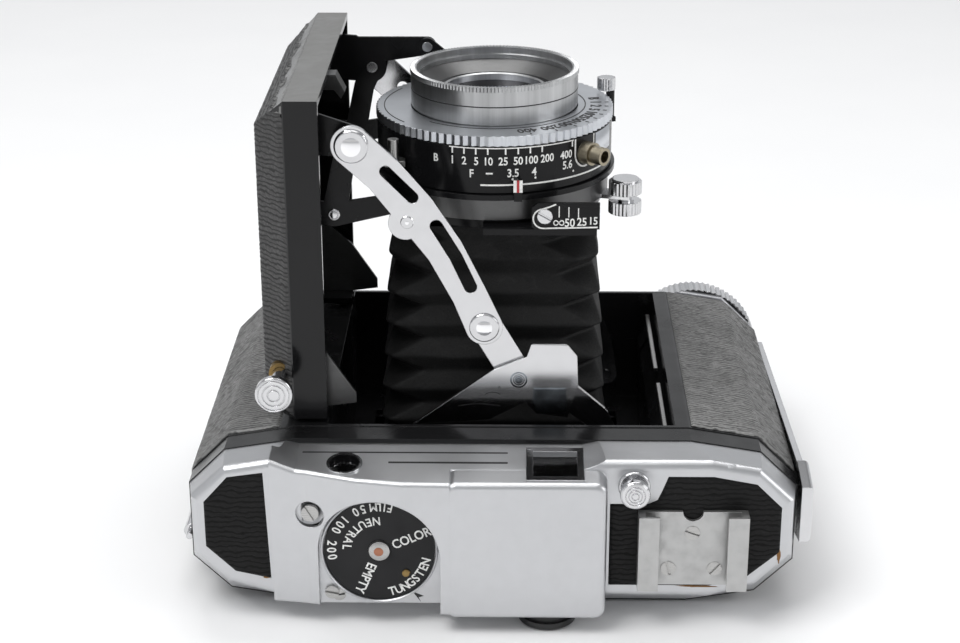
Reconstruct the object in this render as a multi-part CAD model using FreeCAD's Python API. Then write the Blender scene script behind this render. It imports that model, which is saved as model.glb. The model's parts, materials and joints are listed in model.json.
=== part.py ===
"""Folding roll-film camera, open, lying on its back.

Millimetres. The lens axis is +Z, +X is the photographer's right hand, -Y is the top cover.
The origin is on the lens axis, at the plane of the back's resting face.
"""
import FreeCAD, Part
import math
import os
from FreeCAD import Vector

# Driving dimensions of the body
BODY_DEPTH = 36.0
BODY_HALF_HEIGHT = 37.5
BODY_OUTLINE = [
    (-39.1, 36.0), (39.1, 36.0), (53.0, 33.7), (60.5, 26.3), (60.5, 9.7), (53.0, 2.3),
    (39.1, 0.0), (-39.1, 0.0), (-53.0, 2.3), (-60.5, 9.7), (-60.5, 26.3), (-53.0, 33.7),
]
WALL = 0.9
DOOR_SPLIT_Z = 9.9
GATE_Z = 9.6
OPEN_LEFT = -33.0
OPEN_RIGHT = 36.4
OPEN_HALF_HEIGHT = 36.6
CHAMBER_HALF_HEIGHT = 34.2
SPOOL_X = 46.2
SPOOL_Z = 20.5
FLANGE_R = 12.4
LEATHER = 0.4
COVER_Y = -51.9
HOUSING_Y = -57.0
BASE_Y = 39.0

# Top cover. The front strip is a plane through two edges, as (y, z).
BAND_Y = -43.2
STRIP_BACK = (-46.0, 34.4)
STRIP_FRONT = (-57.0, 32.6)
STRIP_SLOPE = (STRIP_BACK[1] - STRIP_FRONT[1]) / (STRIP_BACK[0] - STRIP_FRONT[0])
RANGE_WINDOW = (-28.6, -50.2)
FINDER = (6.7, 17.9, -55.6, -44.8)
EYEPIECE = (11.0, -49.8)
COVER_LOW = [
    (-43.4, 35.1), (43.4, 35.1), (52.0, 33.6), (58.6, 27.4), (58.6, 15.6), (52.0, 9.0),
    (43.4, 6.2), (-43.4, 6.2), (-52.0, 9.0), (-58.6, 15.6), (-58.6, 27.4), (-52.0, 33.6),
]
DIAL = (-22.0, 16.4)
BUTTON = (27.6, 30.3)
COVER_SCREW = (-35.4, 24.2)
SHOE_SCREWS = [(39.1, 20.6), (34.6, 12.8), (43.7, 12.8)]

# Back. Pairs are (x, z), except the outlines of the latch, which are (y, z).
BACK_HINGE = (-62.2, 10.4)
LATCH_X = 61.0
LATCH_BAR = [(-37.6, 13.6), (34.5, 15.6), (34.5, 24.6), (-37.6, 28.4)]
LATCH_GRIP = [(-46.0, 15.0), (-37.4, 13.2), (-37.4, 28.8), (-46.0, 27.0)]

# Bed, open
BED_TOP = 102.4
BED_BOTTOM = 36.9
BED_FACE = -45.6
BED_RIM = -33.0
BED_SHOULDER = -39.5
BED_HALF = 36.2
BED_BUTTON = (-42.4, 46.0)

# Bellows: half widths at the film gate and at the lens standard, and their thickness
BELLOWS_LOW = 25.2
BELLOWS_HIGH = 22.0
BELLOWS_WALL = 1.2

# Driving dimensions of the fold. Pairs are (x, z) in the open pose.
BED_HINGE = (-34.5, 32.0)
BED_PIN_R = 1.1
STUD = (-27.2, 92.2)
ELBOW = (-1.7, 54.8)
LEG_PIVOT = (25.66, 18.86)
LEVER_PIVOT = (5.2, 43.0)
CARRIER_TOP = (-15.0, 97.0)
CARRIER_END = (10.25, 82.18)
PIN_PLAY = 0.05

# Layers of the fold, as distances from the lens axis along Y
CARRIER_LAYER = (26.8, 27.5)
BRACKET_LAYER = (27.7, 28.4)
LEG_LAYER = (28.6, 29.4)
LEVER_LAYER = (29.6, 30.3)
ARM_LAYER = (30.5, 31.3)

# Driving dimensions of the lens unit
RIM_R = 17.15
RIM_BOTTOM = 92.4
RIM_TOP = 99.8
RIM_NECK_R = 16.9
CASE_R = 24.2
CASE_BOTTOM = 80.4
CASE_TOP = 89.8
TUBE_R = 14.0
PAN_R = 22.3
PAN_BOTTOM = 72.5
PAN_TOP = 78.6
KNOB_CENTRE = (26.9, -8.0)
FLASH_ANGLE = -41.0
COCKING_ANGLE = 20.6
COCKING_R = 25.9


def box(x0, x1, y0, y1, z0, z1):
    return Part.makeBox(x1 - x0, y1 - y0, z1 - z0, Vector(x0, y0, z0))


def round_y(x, z, radius, y0, y1):
    """Cylinder along Y."""
    return Part.makeCylinder(radius, y1 - y0, Vector(x, y0, z), Vector(0, 1, 0))


def round_z(x, y, radius, z0, z1):
    """Cylinder along Z."""
    return Part.makeCylinder(radius, z1 - z0, Vector(x, y, z0), Vector(0, 0, 1))


def ring_z(outer, inner, z0, z1):
    return round_z(0, 0, outer, z0, z1).cut(round_z(0, 0, inner, z0, z1))


def plate_xz(points, y0, y1):
    """Polygon of (x, z) points, thick along Y."""
    corners = [Vector(x, y0, z) for x, z in points]
    return Part.Face(Part.makePolygon(corners + corners[:1])).extrude(Vector(0, y1 - y0, 0))


def plate_xy(points, z0, z1):
    """Polygon of (x, y) points, thick along Z."""
    corners = [Vector(x, y, z0) for x, y in points]
    return Part.Face(Part.makePolygon(corners + corners[:1])).extrude(Vector(0, 0, z1 - z0))


def join(shapes):
    shapes = list(shapes)
    return shapes[0].fuse(shapes[1:]).removeSplitter() if len(shapes) > 1 else shapes[0]


def inset(points, distance):
    """The convex polygon with every edge moved inwards."""
    area = sum(a[0] * b[1] - b[0] * a[1] for a, b in zip(points, points[1:] + points[:1]))
    turn = 1 if area > 0 else -1
    lines = []
    for a, b in zip(points, points[1:] + points[:1]):
        dx, dz = b[0] - a[0], b[1] - a[1]
        length = math.hypot(dx, dz)
        nx, nz = -dz / length * turn, dx / length * turn
        lines.append((nx, nz, nx * a[0] + nz * a[1] + distance))
    moved = []
    for first, second in zip(lines[-1:] + lines[:-1], lines):
        det = first[0] * second[1] - second[0] * first[1]
        x = (first[2] * second[1] - second[2] * first[1]) / det
        z = (first[0] * second[2] - second[0] * first[2]) / det
        moved.append((x, z))
    return moved


def strap(points, layer):
    """A link: discs (x, z, radius) joined by their common tangents, in a layer on the far side."""
    y0, y1 = layer
    pieces = []
    for x, z, radius in points:
        pieces.append(round_y(x, z, radius, y0, y1))
    for (x0, z0, r0), (x1, z1, r1) in zip(points, points[1:]):
        heading = math.atan2(z1 - z0, x1 - x0)
        spread = math.acos((r0 - r1) / math.hypot(x1 - x0, z1 - z0))
        corners = []
        for x, z, radius, side in ((x0, z0, r0, 1), (x1, z1, r1, 1), (x1, z1, r1, -1), (x0, z0, r0, -1)):
            angle = heading + side * spread
            corners.append((x + radius * math.cos(angle), z + radius * math.sin(angle)))
        pieces.append(plate_xz(corners, y0, y1))
    return join(pieces)


def mirrored(shape):
    """The same shape on the other side of the lens axis along Y."""
    return shape.mirror(Vector(0, 0, 0), Vector(0, 1, 0))


def group(shapes):
    """Separate solids kept in one node."""
    return Part.makeCompound(list(shapes))


def soften(shape, radius, keep):
    """Fillets the edges that keep() picks."""
    edges = [edge for edge in shape.Edges if keep(edge)]
    return shape.makeFillet(radius, edges)


def along(edge, direction):
    """True when a straight edge runs along a direction."""
    if edge.Curve.TypeId != "Part::GeomLine":
        return False
    return abs(edge.tangentAt(edge.FirstParameter).dot(direction)) > 0.999


def toothed(radius, depth, count, base, axis_name, height):
    """A knurled disc: a star outline with count teeth, thick along Y or Z."""
    corners = []
    for i in range(2 * count):
        angle = math.pi * i / count
        reach = radius if i % 2 == 0 else radius - depth
        a, b = reach * math.cos(angle), reach * math.sin(angle)
        corners.append(Vector(base[0] + a, base[1], base[2] + b) if axis_name == "Y"
                       else Vector(base[0] + a, base[1] + b, base[2]))
    face = Part.Face(Part.makePolygon(corners + corners[:1]))
    return face.extrude(Vector(0, height, 0) if axis_name == "Y" else Vector(0, 0, height))


def screw_y(x, z, radius, y0, y1, turn_deg):
    """A screw head along Y with a slot in the face at y0."""
    head = round_y(x, z, radius, y0, y1)
    slot = box(-radius * 1.2, radius * 1.2, y0 - 0.1, y0 + 0.35, -0.2, 0.2)
    slot.rotate(Vector(0, 0, 0), Vector(0, 1, 0), turn_deg)
    slot.translate(Vector(x, 0, z))
    return head.cut(slot)


def save(name, shape):
    for solid in shape.Solids:
        if not solid.isValid():
            raise ValueError(name)
    shape.exportStep("parts/" + name + ".step")


# ---------------------------------------------------------------- body

def body_casting():
    height = BODY_HALF_HEIGHT
    chamber = CHAMBER_HALF_HEIGHT
    front = plate_xz(BODY_OUTLINE, -height, height).common(box(-70, 70, -40, 40, DOOR_SPLIT_Z, 40))
    skirt = inset(BODY_OUTLINE, 1.6)
    ends = [plate_xz(skirt, -height, -chamber), plate_xz(skirt, chamber, height)]
    band = plate_xz(inset(BODY_OUTLINE, 0.15), BAND_Y, -height)
    band = band.cut(plate_xz(inset(BODY_OUTLINE, 1.5), BAND_Y, -height - 0.9))
    floor = box(-33.6, 33.8, -chamber, chamber, 8.4, GATE_Z + 0.4)
    solid = join([front, floor, band] + ends)

    inside = inset(BODY_OUTLINE, WALL)
    hollow = plate_xz(inside, -chamber, chamber)
    barrel = round_y(BED_HINGE[0], BED_HINGE[1], 3.3, -height, height)
    left_film = hollow.common(box(-70, -33.6, -40, 40, -1, 40)).cut(barrel)
    wall_side = [(33.8, -1), (33.8, 24.8), (37.0, 30.3), (37.0, 40), (70, 40), (70, -1)]
    right_film = hollow.common(plate_xz(wall_side, -40, 40))
    throat = [(OPEN_LEFT, GATE_Z), (33.2, GATE_Z), (33.2, 25.0), (OPEN_RIGHT, 30.4),
              (OPEN_RIGHT, 40), (OPEN_LEFT, 40)]
    throat = plate_xz(throat, -OPEN_HALF_HEIGHT, OPEN_HALF_HEIGHT)
    under_gate = box(-33.6, 33.8, -chamber, chamber, -1, 8.4)
    window = box(-28, 28, -28, 28, 7, 11)
    solid = solid.cut([left_film, right_film, throat, under_gate, window])
    blisters = []
    pockets = []
    for side in (-1, 1):
        y0, y1 = sorted((side * (CARRIER_LAYER[0] - 0.8), side * (BRACKET_LAYER[1] + 0.8)))
        blisters.append(box(33.2, 36.3, y0, y1, 11.0, 29.8))
        pockets.append(box(33.0, 35.5, y0 + 0.5, y1 - 0.5, 11.6, 29.0))
    solid = solid.fuse([barrel.cut(throat)] + blisters).cut([throat] + pockets)

    x, z = BED_HINGE
    for side in (-1, 1):
        y0, y1 = sorted((side * 28.5, side * 33.7))
        knuckle = round_y(x, z, 2.5, y0, y1)
        swing = box(x - 2.4, OPEN_LEFT + 0.1, y0, y1, z, BODY_DEPTH + 0.1)
        solid = solid.cut([knuckle, swing])
    solid = solid.cut(round_y(x, z, BED_PIN_R, -36, 36))
    for x in (-SPOOL_X, SPOOL_X):
        solid = solid.cut(round_y(x, SPOOL_Z, 2.05, -36.5, 38))
    for x in (-35.6, 35.6):
        for y0 in (-35.8, 34.0):
            solid = solid.cut(round_y(x, 7.0, 0.85, y0, y0 + 1.8))
    for side in (-1, 1):
        boss = round_y(LEG_PIVOT[0], LEG_PIVOT[1], 3.0, 33.0, 36.8)
        solid = solid.fuse(boss if side > 0 else mirrored(boss))
    solid = solid.cut(round_y(LEG_PIVOT[0], LEG_PIVOT[1], 1.1, -37.2, 37.2))
    return solid.removeSplitter()


def film_gate():
    """Polished rails that the film runs on, round the picture window."""
    rails = [box(-31.5, 31.5, y, y + 2.6, 7.7, 8.4) for y in (-33.8, 31.2)]
    guides = [box(-31.5, 31.5, y, y + 1.2, 7.7, 8.4) for y in (-29.6, 28.4)]
    return group(rails + guides)


def body_leather():
    """Leather on the two front panels and the sides, over the chamfers."""
    skin = plate_xz(inset(BODY_OUTLINE, -LEATHER), -36.9, 36.9).cut(plate_xz(BODY_OUTLINE, -40, 40))
    right = skin.common(box(39.6, 70, -40, 40, 26.4, 40))
    left = skin.common(box(-70, -42.5, -40, 40, 12.0, 40))
    return group([left, right])


def bottom_plate():
    plate = plate_xz(inset(BODY_OUTLINE, 0.3), BODY_HALF_HEIGHT, BASE_Y)
    plate = soften(plate, 0.8, lambda e: e.BoundBox.YMin > BASE_Y - 0.01)
    plate = plate.cut(round_y(SPOOL_X, SPOOL_Z, 2.6, 37, 40))
    return plate.cut(round_y(0, 18, 2.6, 37, 40))


def tripod_bush():
    bush = round_y(0, 18, 8.0, BASE_Y, 43.5)
    bush = soften(bush, 0.6, lambda e: e.BoundBox.YMin > 43.4)
    return bush.cut(round_y(0, 18, 2.6, 38, 44))


# ---------------------------------------------------------------- top cover

def wire_xz(points, y):
    corners = [Vector(x, y, z) for x, z in points]
    return Part.makePolygon(corners + corners[:1])


def loft_y(points0, y0, points1, y1):
    return Part.makeLoft([wire_xz(points0, y0), wire_xz(points1, y1)], True, True)


def plate_yz(points, x0, x1):
    """Polygon of (y, z) points, thick along X."""
    corners = [Vector(x0, y, z) for y, z in points]
    return Part.Face(Part.makePolygon(corners + corners[:1])).extrude(Vector(x1 - x0, 0, 0))


def strip_z(y, lift=0.0):
    """Height of the front strip at y."""
    return STRIP_BACK[1] + (y - STRIP_BACK[0]) * STRIP_SLOPE + lift


def above_strip(thin):
    """Everything in front of the front strip, whose two ends run out to the sides of the cover."""
    y0, y1 = -60.0, BAND_Y + 0.5
    lift = 0.03 - thin
    profiles = []
    for x, rise in ((-44.0, 1.9), (-38.0, 0.0), (17.5, 0.0), (22.0, 1.6)):
        corners = [Vector(x, y0, strip_z(y0, lift) + rise * 1.3),
                   Vector(x, y1, strip_z(y1, lift) + rise * 0.6),
                   Vector(x, y1, 41), Vector(x, y0, 41)]
        profiles.append(Part.makePolygon(corners + corners[:1]))
    pieces = [Part.makeLoft(list(pair), True, True) for pair in zip(profiles, profiles[1:])]
    return join(pieces)


def cover_shell(thin):
    """The outside of the top cover, or with thin > 0 the space inside it."""
    base = inset(BODY_OUTLINE, 0.35 + thin)
    top = inset(COVER_LOW, thin)
    low = loft_y(base, BAND_Y, top, COVER_Y + thin)
    if thin == 0:
        low = soften(low, 1.6, lambda e: abs(e.BoundBox.YMax - COVER_Y) < 0.01)
    wide = [(-9 + thin, 34.4 - thin), (22.3 - thin, 34.4 - thin), (22.3 - thin, 2.6 + thin),
            (-9 + thin, 2.6 + thin)]
    narrow = [(-9 + thin, 32.6 - thin), (22.3 - thin, 32.6 - thin), (22.3 - thin, 3.4 + thin),
              (-9 + thin, 3.4 + thin)]
    housing = loft_y(wide, -46.0, narrow, HOUSING_Y + thin)
    if thin == 0:
        corners = [e for e in housing.Edges if abs(e.tangentAt(e.FirstParameter).y) > 0.9]
        housing = housing.makeFillet(2.2, corners)
        housing = soften(housing, 1.2, lambda e: abs(e.BoundBox.YMax - HOUSING_Y) < 0.01)
    ramp = [(-43.2 + 3 * thin, COVER_Y + thin), (-36, -53.0 + thin), (-26, -55.6 + thin),
            (-17, -56.8 + thin), (-8, HOUSING_Y + thin), (-8, -46), (-43.2 + 3 * thin, -46)]
    above = above_strip(thin)
    ramp = plate_xy(ramp, 4.0 + thin, 36.0).cut(above)
    if thin == 0:
        ramp = soften(ramp, 0.9, lambda e: e.BoundBox.YMax < COVER_Y + 0.1 and not along(e, Vector(0, 0, 1)))
    return join([low.cut(above), housing, ramp])


def dial_recess(margin, y1):
    """The sunk seat of the dial: a disc that opens into a square plate below it."""
    disc = round_y(DIAL[0], DIAL[1], 12.0 - margin, -60, y1)
    seat = box(DIAL[0] - 12 + margin, DIAL[0] + 12 - margin, -60, y1, 3.0 + margin, DIAL[1])
    return disc.fuse(seat)


def top_cover():
    wall = 0.9
    x, z = COVER_SCREW
    cover = cover_shell(0).cut([dial_recess(0, COVER_Y), round_y(x, z, 2.8, -60, COVER_Y)])
    space = cover_shell(wall).cut(dial_recess(-wall, COVER_Y + wall))
    cover = cover.cut(space)
    cover = cover.cut(round_y(BUTTON[0], BUTTON[1], 2.0, -53, -50))
    cover = cover.cut(round_y(DIAL[0], DIAL[1], 1.2, -53, -50))
    cover = cover.cut(finder_hole(0.0))
    cover = cover.cut(strip_tube(3.5, 3.0, 3.0))
    cover = cover.cut(round_z(EYEPIECE[0], EYEPIECE[1], 5.0, -2, 10))
    cover = cover.cut(round_z(EYEPIECE[0], EYEPIECE[1], 5.8, -2, 1.5))
    return cover.removeSplitter()


def finder_hole(margin):
    """The rectangular hole in the cover's front face for the viewfinder frame."""
    x0, x1, y0, y1 = FINDER
    return box(x0 + margin, x1 - margin, y0 + margin, y1 - margin, 29, 38)


def strip_tube(radius, sink, rise):
    """A cylinder square to the front strip, at the rangefinder window."""
    x, y = RANGE_WINDOW
    out = Vector(0, -STRIP_SLOPE, 1)
    out.normalize()
    start = Vector(x, y, strip_z(y)) - out * sink
    return Part.makeCylinder(radius, sink + rise, start, out)


def finder_frame():
    x0, x1, y0, y1 = FINDER
    corners = [(y0, strip_z(y0, -1.6)), (y0, strip_z(y0, 0.3)),
               (y1, strip_z(y1, 0.3)), (y1, strip_z(y1, -1.6))]
    return plate_yz(corners, x0, x1).cut(finder_hole(1.3))


def finder_glass():
    x0, x1, y0, y1 = FINDER
    corners = [(y, strip_z(y, lift)) for y, lift in ((y0, -1.5), (y0, -0.9), (y1, -0.9), (y1, -1.5))]
    front = plate_yz(corners, x0, x1).common(finder_hole(1.3))
    return group([front, strip_tube(2.9, 2.2, -1.6)])


def rangefinder_ring():
    return strip_tube(3.5, 2.4, 0.35).cut(strip_tube(2.9, 3.0, 1.0))


def rangefinder_mirrors():
    """The swinging mirror behind the round window and the prism behind the finder."""
    mirror = box(-4.5, 4.5, -3.2, 3.2, -0.6, 0.6)
    mirror.rotate(Vector(0, 0, 0), Vector(0, 1, 0), 45)
    mirror.translate(Vector(RANGE_WINDOW[0], -47.4, 24))
    prism = plate_xz([(9, 20), (18, 20), (9, 29)], -54.0, -46.5)
    return group([mirror, prism])


def eyepiece():
    x, y = EYEPIECE
    return join([round_z(x, y, 5.0, 1.2, 6.2), round_z(x, y, 5.7, 0.2, 1.4)]).cut(round_z(x, y, 2.6, 0, 8))


def top_cover_leather():
    left = [(-44.4, 32.6), (-51.4, 31.6), (-56.2, 26.2), (-56.2, 16.5), (-50.6, 11.0), (-43.6, 9.4)]
    right = [(32.6, 32.2), (43.0, 32.2), (51.4, 30.6), (56.4, 25.6), (56.4, 15.9), (50.4, 10.6),
             (43.0, 8.4), (23.0, 8.4), (23.0, 26.3), (32.6, 26.3)]
    return group([plate_xz(points, COVER_Y - 0.35, COVER_Y) for points in (left, right)])


def accessory_shoe():
    x0, x1, z0, z1 = 28.5, 49.8, 9.2, 25.2
    floor_y = COVER_Y - 0.35
    base = box(x0, x1, floor_y - 0.8, floor_y, z0, z1)
    walls = [box(edge, edge + 1.3, floor_y - 3.4, floor_y, z0, z1) for edge in (x0, x1 - 1.3)]
    lips = [box(edge, edge + 4.0, floor_y - 3.6, floor_y - 2.9, z0, z1) for edge in (x0, x1 - 4.0)]
    shoe = join([base] + walls + lips)
    shoe = shoe.cut(round_y((x0 + x1) / 2, z1, 2.0, floor_y - 1, floor_y + 1))
    for x, z in SHOE_SCREWS:
        shoe = shoe.cut(round_y(x, z, 1.5, floor_y - 1, floor_y + 1))
    return shoe


def shoe_spring():
    """Flat steel springs that press the foot of an accessory up against the lips."""
    y = COVER_Y - 1.15
    return group([box(x, x + 1.8, y - 0.4, y, 10.5, 24.0) for x in (30.1, 46.4)])


def cover_screws():
    screws = [screw_y(x, z, 1.5, COVER_Y - 1.25, COVER_Y - 0.35, turn)
              for (x, z), turn in zip(SHOE_SCREWS, (20, 75, 130))]
    screws.append(screw_y(COVER_SCREW[0], COVER_SCREW[1], 1.7, COVER_Y - 0.9, COVER_Y, 60))
    screws.append(screw_y(-31.6, 6.6, 1.4, COVER_Y - 0.6, COVER_Y, 10))
    return group(screws)


def release_collar():
    collar = round_y(BUTTON[0], BUTTON[1], 3.15, COVER_Y - 1.0, COVER_Y)
    collar = soften(collar, 0.4, lambda e: e.BoundBox.YMax < COVER_Y - 0.9)
    return collar.cut(round_y(BUTTON[0], BUTTON[1], 2.0, -55, -50))


def release_button():
    stem = round_y(BUTTON[0], BUTTON[1], 1.94, COVER_Y - 3.4, COVER_Y + 8)
    head = round_y(BUTTON[0], BUTTON[1], 2.9, COVER_Y - 4.6, COVER_Y - 3.2)
    head = soften(head, 0.35, lambda e: e.BoundBox.YMax < COVER_Y - 4.5)
    for radius in (1.1, 2.0):
        groove = round_y(BUTTON[0], BUTTON[1], radius, COVER_Y - 4.7, COVER_Y - 4.45)
        head = head.cut(groove.cut(round_y(BUTTON[0], BUTTON[1], radius - 0.25, -60, -50)))
    return join([stem, head])


def memo_dial():
    disc = round_y(DIAL[0], DIAL[1], 10.9, COVER_Y - 1.1, COVER_Y - 0.1)
    pin = round_y(DIAL[0] + 5.4, DIAL[1] - 5.2, 0.6, COVER_Y - 1.5, COVER_Y - 1.1)
    shaft = round_y(DIAL[0], DIAL[1], 1.15, COVER_Y - 0.2, COVER_Y + 1.6)
    rivet = round_y(DIAL[0], DIAL[1], 2.1, COVER_Y - 1.6, COVER_Y - 1.1)
    return join([disc, pin, shaft, rivet])


# ---------------------------------------------------------------- film transport

def spool(x):
    """A 120 roll-film spool: a thin core, two flanges and a slotted end."""
    core = round_y(x, SPOOL_Z, 6.2, -32, 32)
    flanges = [round_y(x, SPOOL_Z, FLANGE_R, y, y + 1.2) for y in (-32.7, 31.5)]
    return join([core] + flanges)


def supply_spool():
    pins = [round_y(-SPOOL_X, SPOOL_Z, 2.0, -36.2, -32.5), round_y(-SPOOL_X, SPOOL_Z, 2.0, 32.5, 36.2)]
    return join([spool(-SPOOL_X)] + pins)


def take_up_spool():
    pin = round_y(SPOOL_X, SPOOL_Z, 2.0, -36.2, -32.5)
    return join([spool(SPOOL_X), pin])


def wind_knob():
    shaft = round_y(SPOOL_X, SPOOL_Z, 2.0, 32.7, 41.0)
    disc = toothed(15.3, 0.35, 72, (SPOOL_X, 39.6, SPOOL_Z), "Y", 5.2)
    hub = round_y(SPOOL_X, SPOOL_Z, 11.5, 44.7, 46.0)
    return join([shaft, disc, hub])


def film_roller(x):
    drum = round_y(x, 7.0, 1.5, -33.6, 33.6)
    ends = [round_y(x, 7.0, 0.8, -35.6, -33.5), round_y(x, 7.0, 0.8, 33.5, 35.6)]
    return join([drum] + ends)


# ---------------------------------------------------------------- back

def back_door():
    shell = plate_xz(BODY_OUTLINE, -37.3, 37.3).cut(plate_xz(inset(BODY_OUTLINE, 1.2), -40, 40))
    door = shell.common(box(-70, 70, -40, 40, -1, DOOR_SPLIT_Z - 0.3))
    x, z = BACK_HINGE
    knuckle = round_y(x, z, 1.5, -20, 20)
    leaf = box(x, -59.4, -20, 20, z - 1.5, z - 0.7)
    door = door.fuse([knuckle, leaf]).cut([round_y(x, z, 0.75, -40, 40), back_leather()])
    return door.cut(round_z(10, 0, 5.0, -2, 3)).removeSplitter()


def back_leather():
    """The panel of leather sunk into the flat of the back."""
    return box(-38.6, 38.6, -36.0, 36.0, 0.0, LEATHER).cut(round_z(10, 0, 7.5, -2, 3))


def back_hinge_pin():
    x, z = BACK_HINGE
    pin = round_y(x, z, 0.7, -36.5, 36.5)
    ears = []
    for y0 in (-34.0, 22.0):
        ear = round_y(x, z, 1.5, y0, y0 + 12).fuse(box(x, -60.5, y0, y0 + 12, z - 0.4, z + 1.5))
        ears.append(ear.cut(round_y(x, z, 0.7, -40, 40)))
    return group([pin] + ears)


def pressure_plate():
    plate = box(-30, 30, -31, 31, 5.6, 6.4)
    return plate.cut(round_z(10, 0, 6.0, 4, 8))


def pressure_spring():
    """Two bowed leaf springs between the back and the pressure plate."""
    leaves = []
    for y in (-20.0, 14.0):
        outline = [(-18, 1.2), (-14, 1.2), (0, 5.1), (14, 1.2), (18, 1.2), (18, 1.5), (14, 1.5), (0, 5.6),
                   (-14, 1.5), (-18, 1.5)]
        leaves.append(plate_xz(outline, y, y + 6.0))
    return group(leaves)


def red_window():
    return round_z(10, 0, 5.0, 0.5, 1.2)


def red_window_cover():
    """The slide inside the back that shuts the red window."""
    plate = box(-2.0, 18.0, -5.6, 5.6, 1.4, 2.0)
    return plate.fuse(box(16.0, 18.0, -2.0, 2.0, 2.0, 3.4))


def back_latch():
    """The long side bar with its rounded finger piece; it slides along Y."""
    bar = plate_yz(LATCH_BAR, LATCH_X, LATCH_X + 1.2)
    grip = plate_yz(LATCH_GRIP, LATCH_X, LATCH_X + 2.4)
    return join([bar, soften(grip, 1.0, lambda e: e.BoundBox.XMin > LATCH_X + 2.3)])


# ---------------------------------------------------------------- bed

def bed_block(thin):
    """The bed's outside as a chamfered block, or with thin > 0 the hollow inside it."""
    reach = 0.0 if thin == 0 else 5.0
    slant = 0.45 * thin
    across = [
        (BED_RIM + reach, -BED_HALF + thin), (BED_SHOULDER - slant, -BED_HALF + thin),
        (BED_FACE + thin, -30.0 + slant), (BED_FACE + thin, 30.0 - slant),
        (BED_SHOULDER - slant, BED_HALF - thin), (BED_RIM + reach, BED_HALF - thin)]
    upright = [
        (BED_RIM + reach, BED_BOTTOM + thin), (-42.0 - slant, BED_BOTTOM + thin),
        (BED_FACE + thin, 40.6 + slant), (BED_FACE + thin, 96.4 - slant),
        (BED_SHOULDER - slant, BED_TOP - thin), (BED_RIM + reach, BED_TOP - thin)]
    return plate_xy(across, 30, 110).common(plate_xz(upright, -40, 40))


def bed_shell():
    shell = bed_block(0).cut(bed_block(1.3))
    shell = shell.cut(box(-41.0, -30.0, -26.8, 26.8, 36.0, 38.5))
    x, z = BED_HINGE
    shell = shell.cut(round_y(BED_BUTTON[0], BED_BUTTON[1], 2.2, -38, -27))
    for side in (-1, 1):
        y0, y1 = sorted((side * 28.8, side * 33.4))
        eye = round_y(x, z, 2.1, y0, y1)
        neck = box(x - 1.6, OPEN_LEFT - 0.1, y0, y1, z, BED_BOTTOM + 1.3)
        shell = shell.fuse([eye, neck])
    return shell.cut(round_y(x, z, BED_PIN_R + PIN_PLAY, -36, 36)).removeSplitter()


def bed_leather():
    """Leather over the flat face of the bed; the chamfers carry it in the visual."""
    return box(BED_FACE - LEATHER, BED_FACE, -29.8, 29.8, 40.8, 96.2)


def bed_brackets():
    """Stamped brackets inside the bed that carry the studs and, on the far side, the carrier link."""
    spine = plate_xz([(-44.3, 70), (-40, 72), (-40, 101), (-44.3, 101)], *BRACKET_LAYER)
    room = plate_xz([(-44.3, 60), (-44.3, 95.2), (-38.6, 100.8), (-33, 100.8), (-30, 99.0), (0, 99.0),
                     (0, 60)],
                    20, 40)
    upper = strap([(-41, 95, 5.0), (STUD[0], STUD[1], 3.2)], BRACKET_LAYER)
    lower = strap([(-42, 79, 2.2), (-31.2, 77.3, 2.4), (-20.0, 79.5, 2.0)], BRACKET_LAYER)
    brace = strap([(-31.2, 77.3, 2.4), (-29, 88, 2.2), (STUD[0], STUD[1], 2.4)], BRACKET_LAYER)
    plate = join([spine, upper, lower, brace]).common(room)
    reach = strap([(-40, 96, 4.0), (-26, 96.2, 2.8), (CARRIER_TOP[0], CARRIER_TOP[1], 2.0)], BRACKET_LAYER)
    far = join([plate, reach.common(room)])
    far = far.cut(round_y(CARRIER_TOP[0], CARRIER_TOP[1], 1.1, 20, 40))
    foot = plate_xz([(-40.0, 38.2), (-32.6, 38.2), (-27.4, 38.9), (-27.4, 41.0), (-33.0, 49.5),
                     (-40.0, 56.0)],
                    31.9, 32.6)
    sides = [mirrored(plate), far, foot, mirrored(foot)]
    hole = round_y(STUD[0], STUD[1], 1.2, -40, 40)
    return group([side.cut(hole) for side in sides])


def strut_studs():
    """Domed studs of the arms and the pivot pin of the carrier link, fixed to the brackets."""
    stud = round_y(STUD[0], STUD[1], 1.2, BRACKET_LAYER[0], 31.5)
    dome = round_y(STUD[0], STUD[1], 3.3, 31.45, 32.1)
    dome = soften(dome, 0.4, lambda e: e.BoundBox.YMin > 32.0)
    near = mirrored(join([stud, dome]))
    pin = round_y(CARRIER_TOP[0], CARRIER_TOP[1], 1.1, CARRIER_LAYER[0], BRACKET_LAYER[1])
    return group([near, join([stud, dome]), pin])


def bed_catch():
    """The claw at the free end of the bed."""
    claw = [(-34.6, 101.1), (-34.6, 98.0), (-32.0, 98.0), (-30.6, 96.2), (-29.8, 97.6), (-31.6, 101.1)]
    return plate_xz(claw, -12.0, -8.0)


def bed_button_grommet():
    x, z = BED_BUTTON
    ring = round_y(x, z, 2.2, -34.6, -32.6)
    return ring.cut(round_y(x, z, 1.45, -40, -30))


def bed_release_button():
    x, z = BED_BUTTON
    stem = round_y(x, z, 1.4, -44.0, -29.5)
    disc = round_y(x, z, 3.7, -45.4, -44.0)
    disc = soften(disc, 0.4, lambda e: e.BoundBox.YMax < -45.3)
    flange = round_y(x, z, 2.0, -31.2, -29.5)
    for radius in (1.3, 2.3, 3.2):
        groove = round_y(x, z, radius, -45.5, -45.25).cut(round_y(x, z, radius - 0.25, -46, -45))
        disc = disc.cut(groove)
    return join([stem, disc, flange])


def bed_hinge_pins():
    x, z = BED_HINGE
    return group([round_y(x, z, BED_PIN_R, y0, y0 + 9.0) for y0 in (-36.0, 27.0)])


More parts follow.
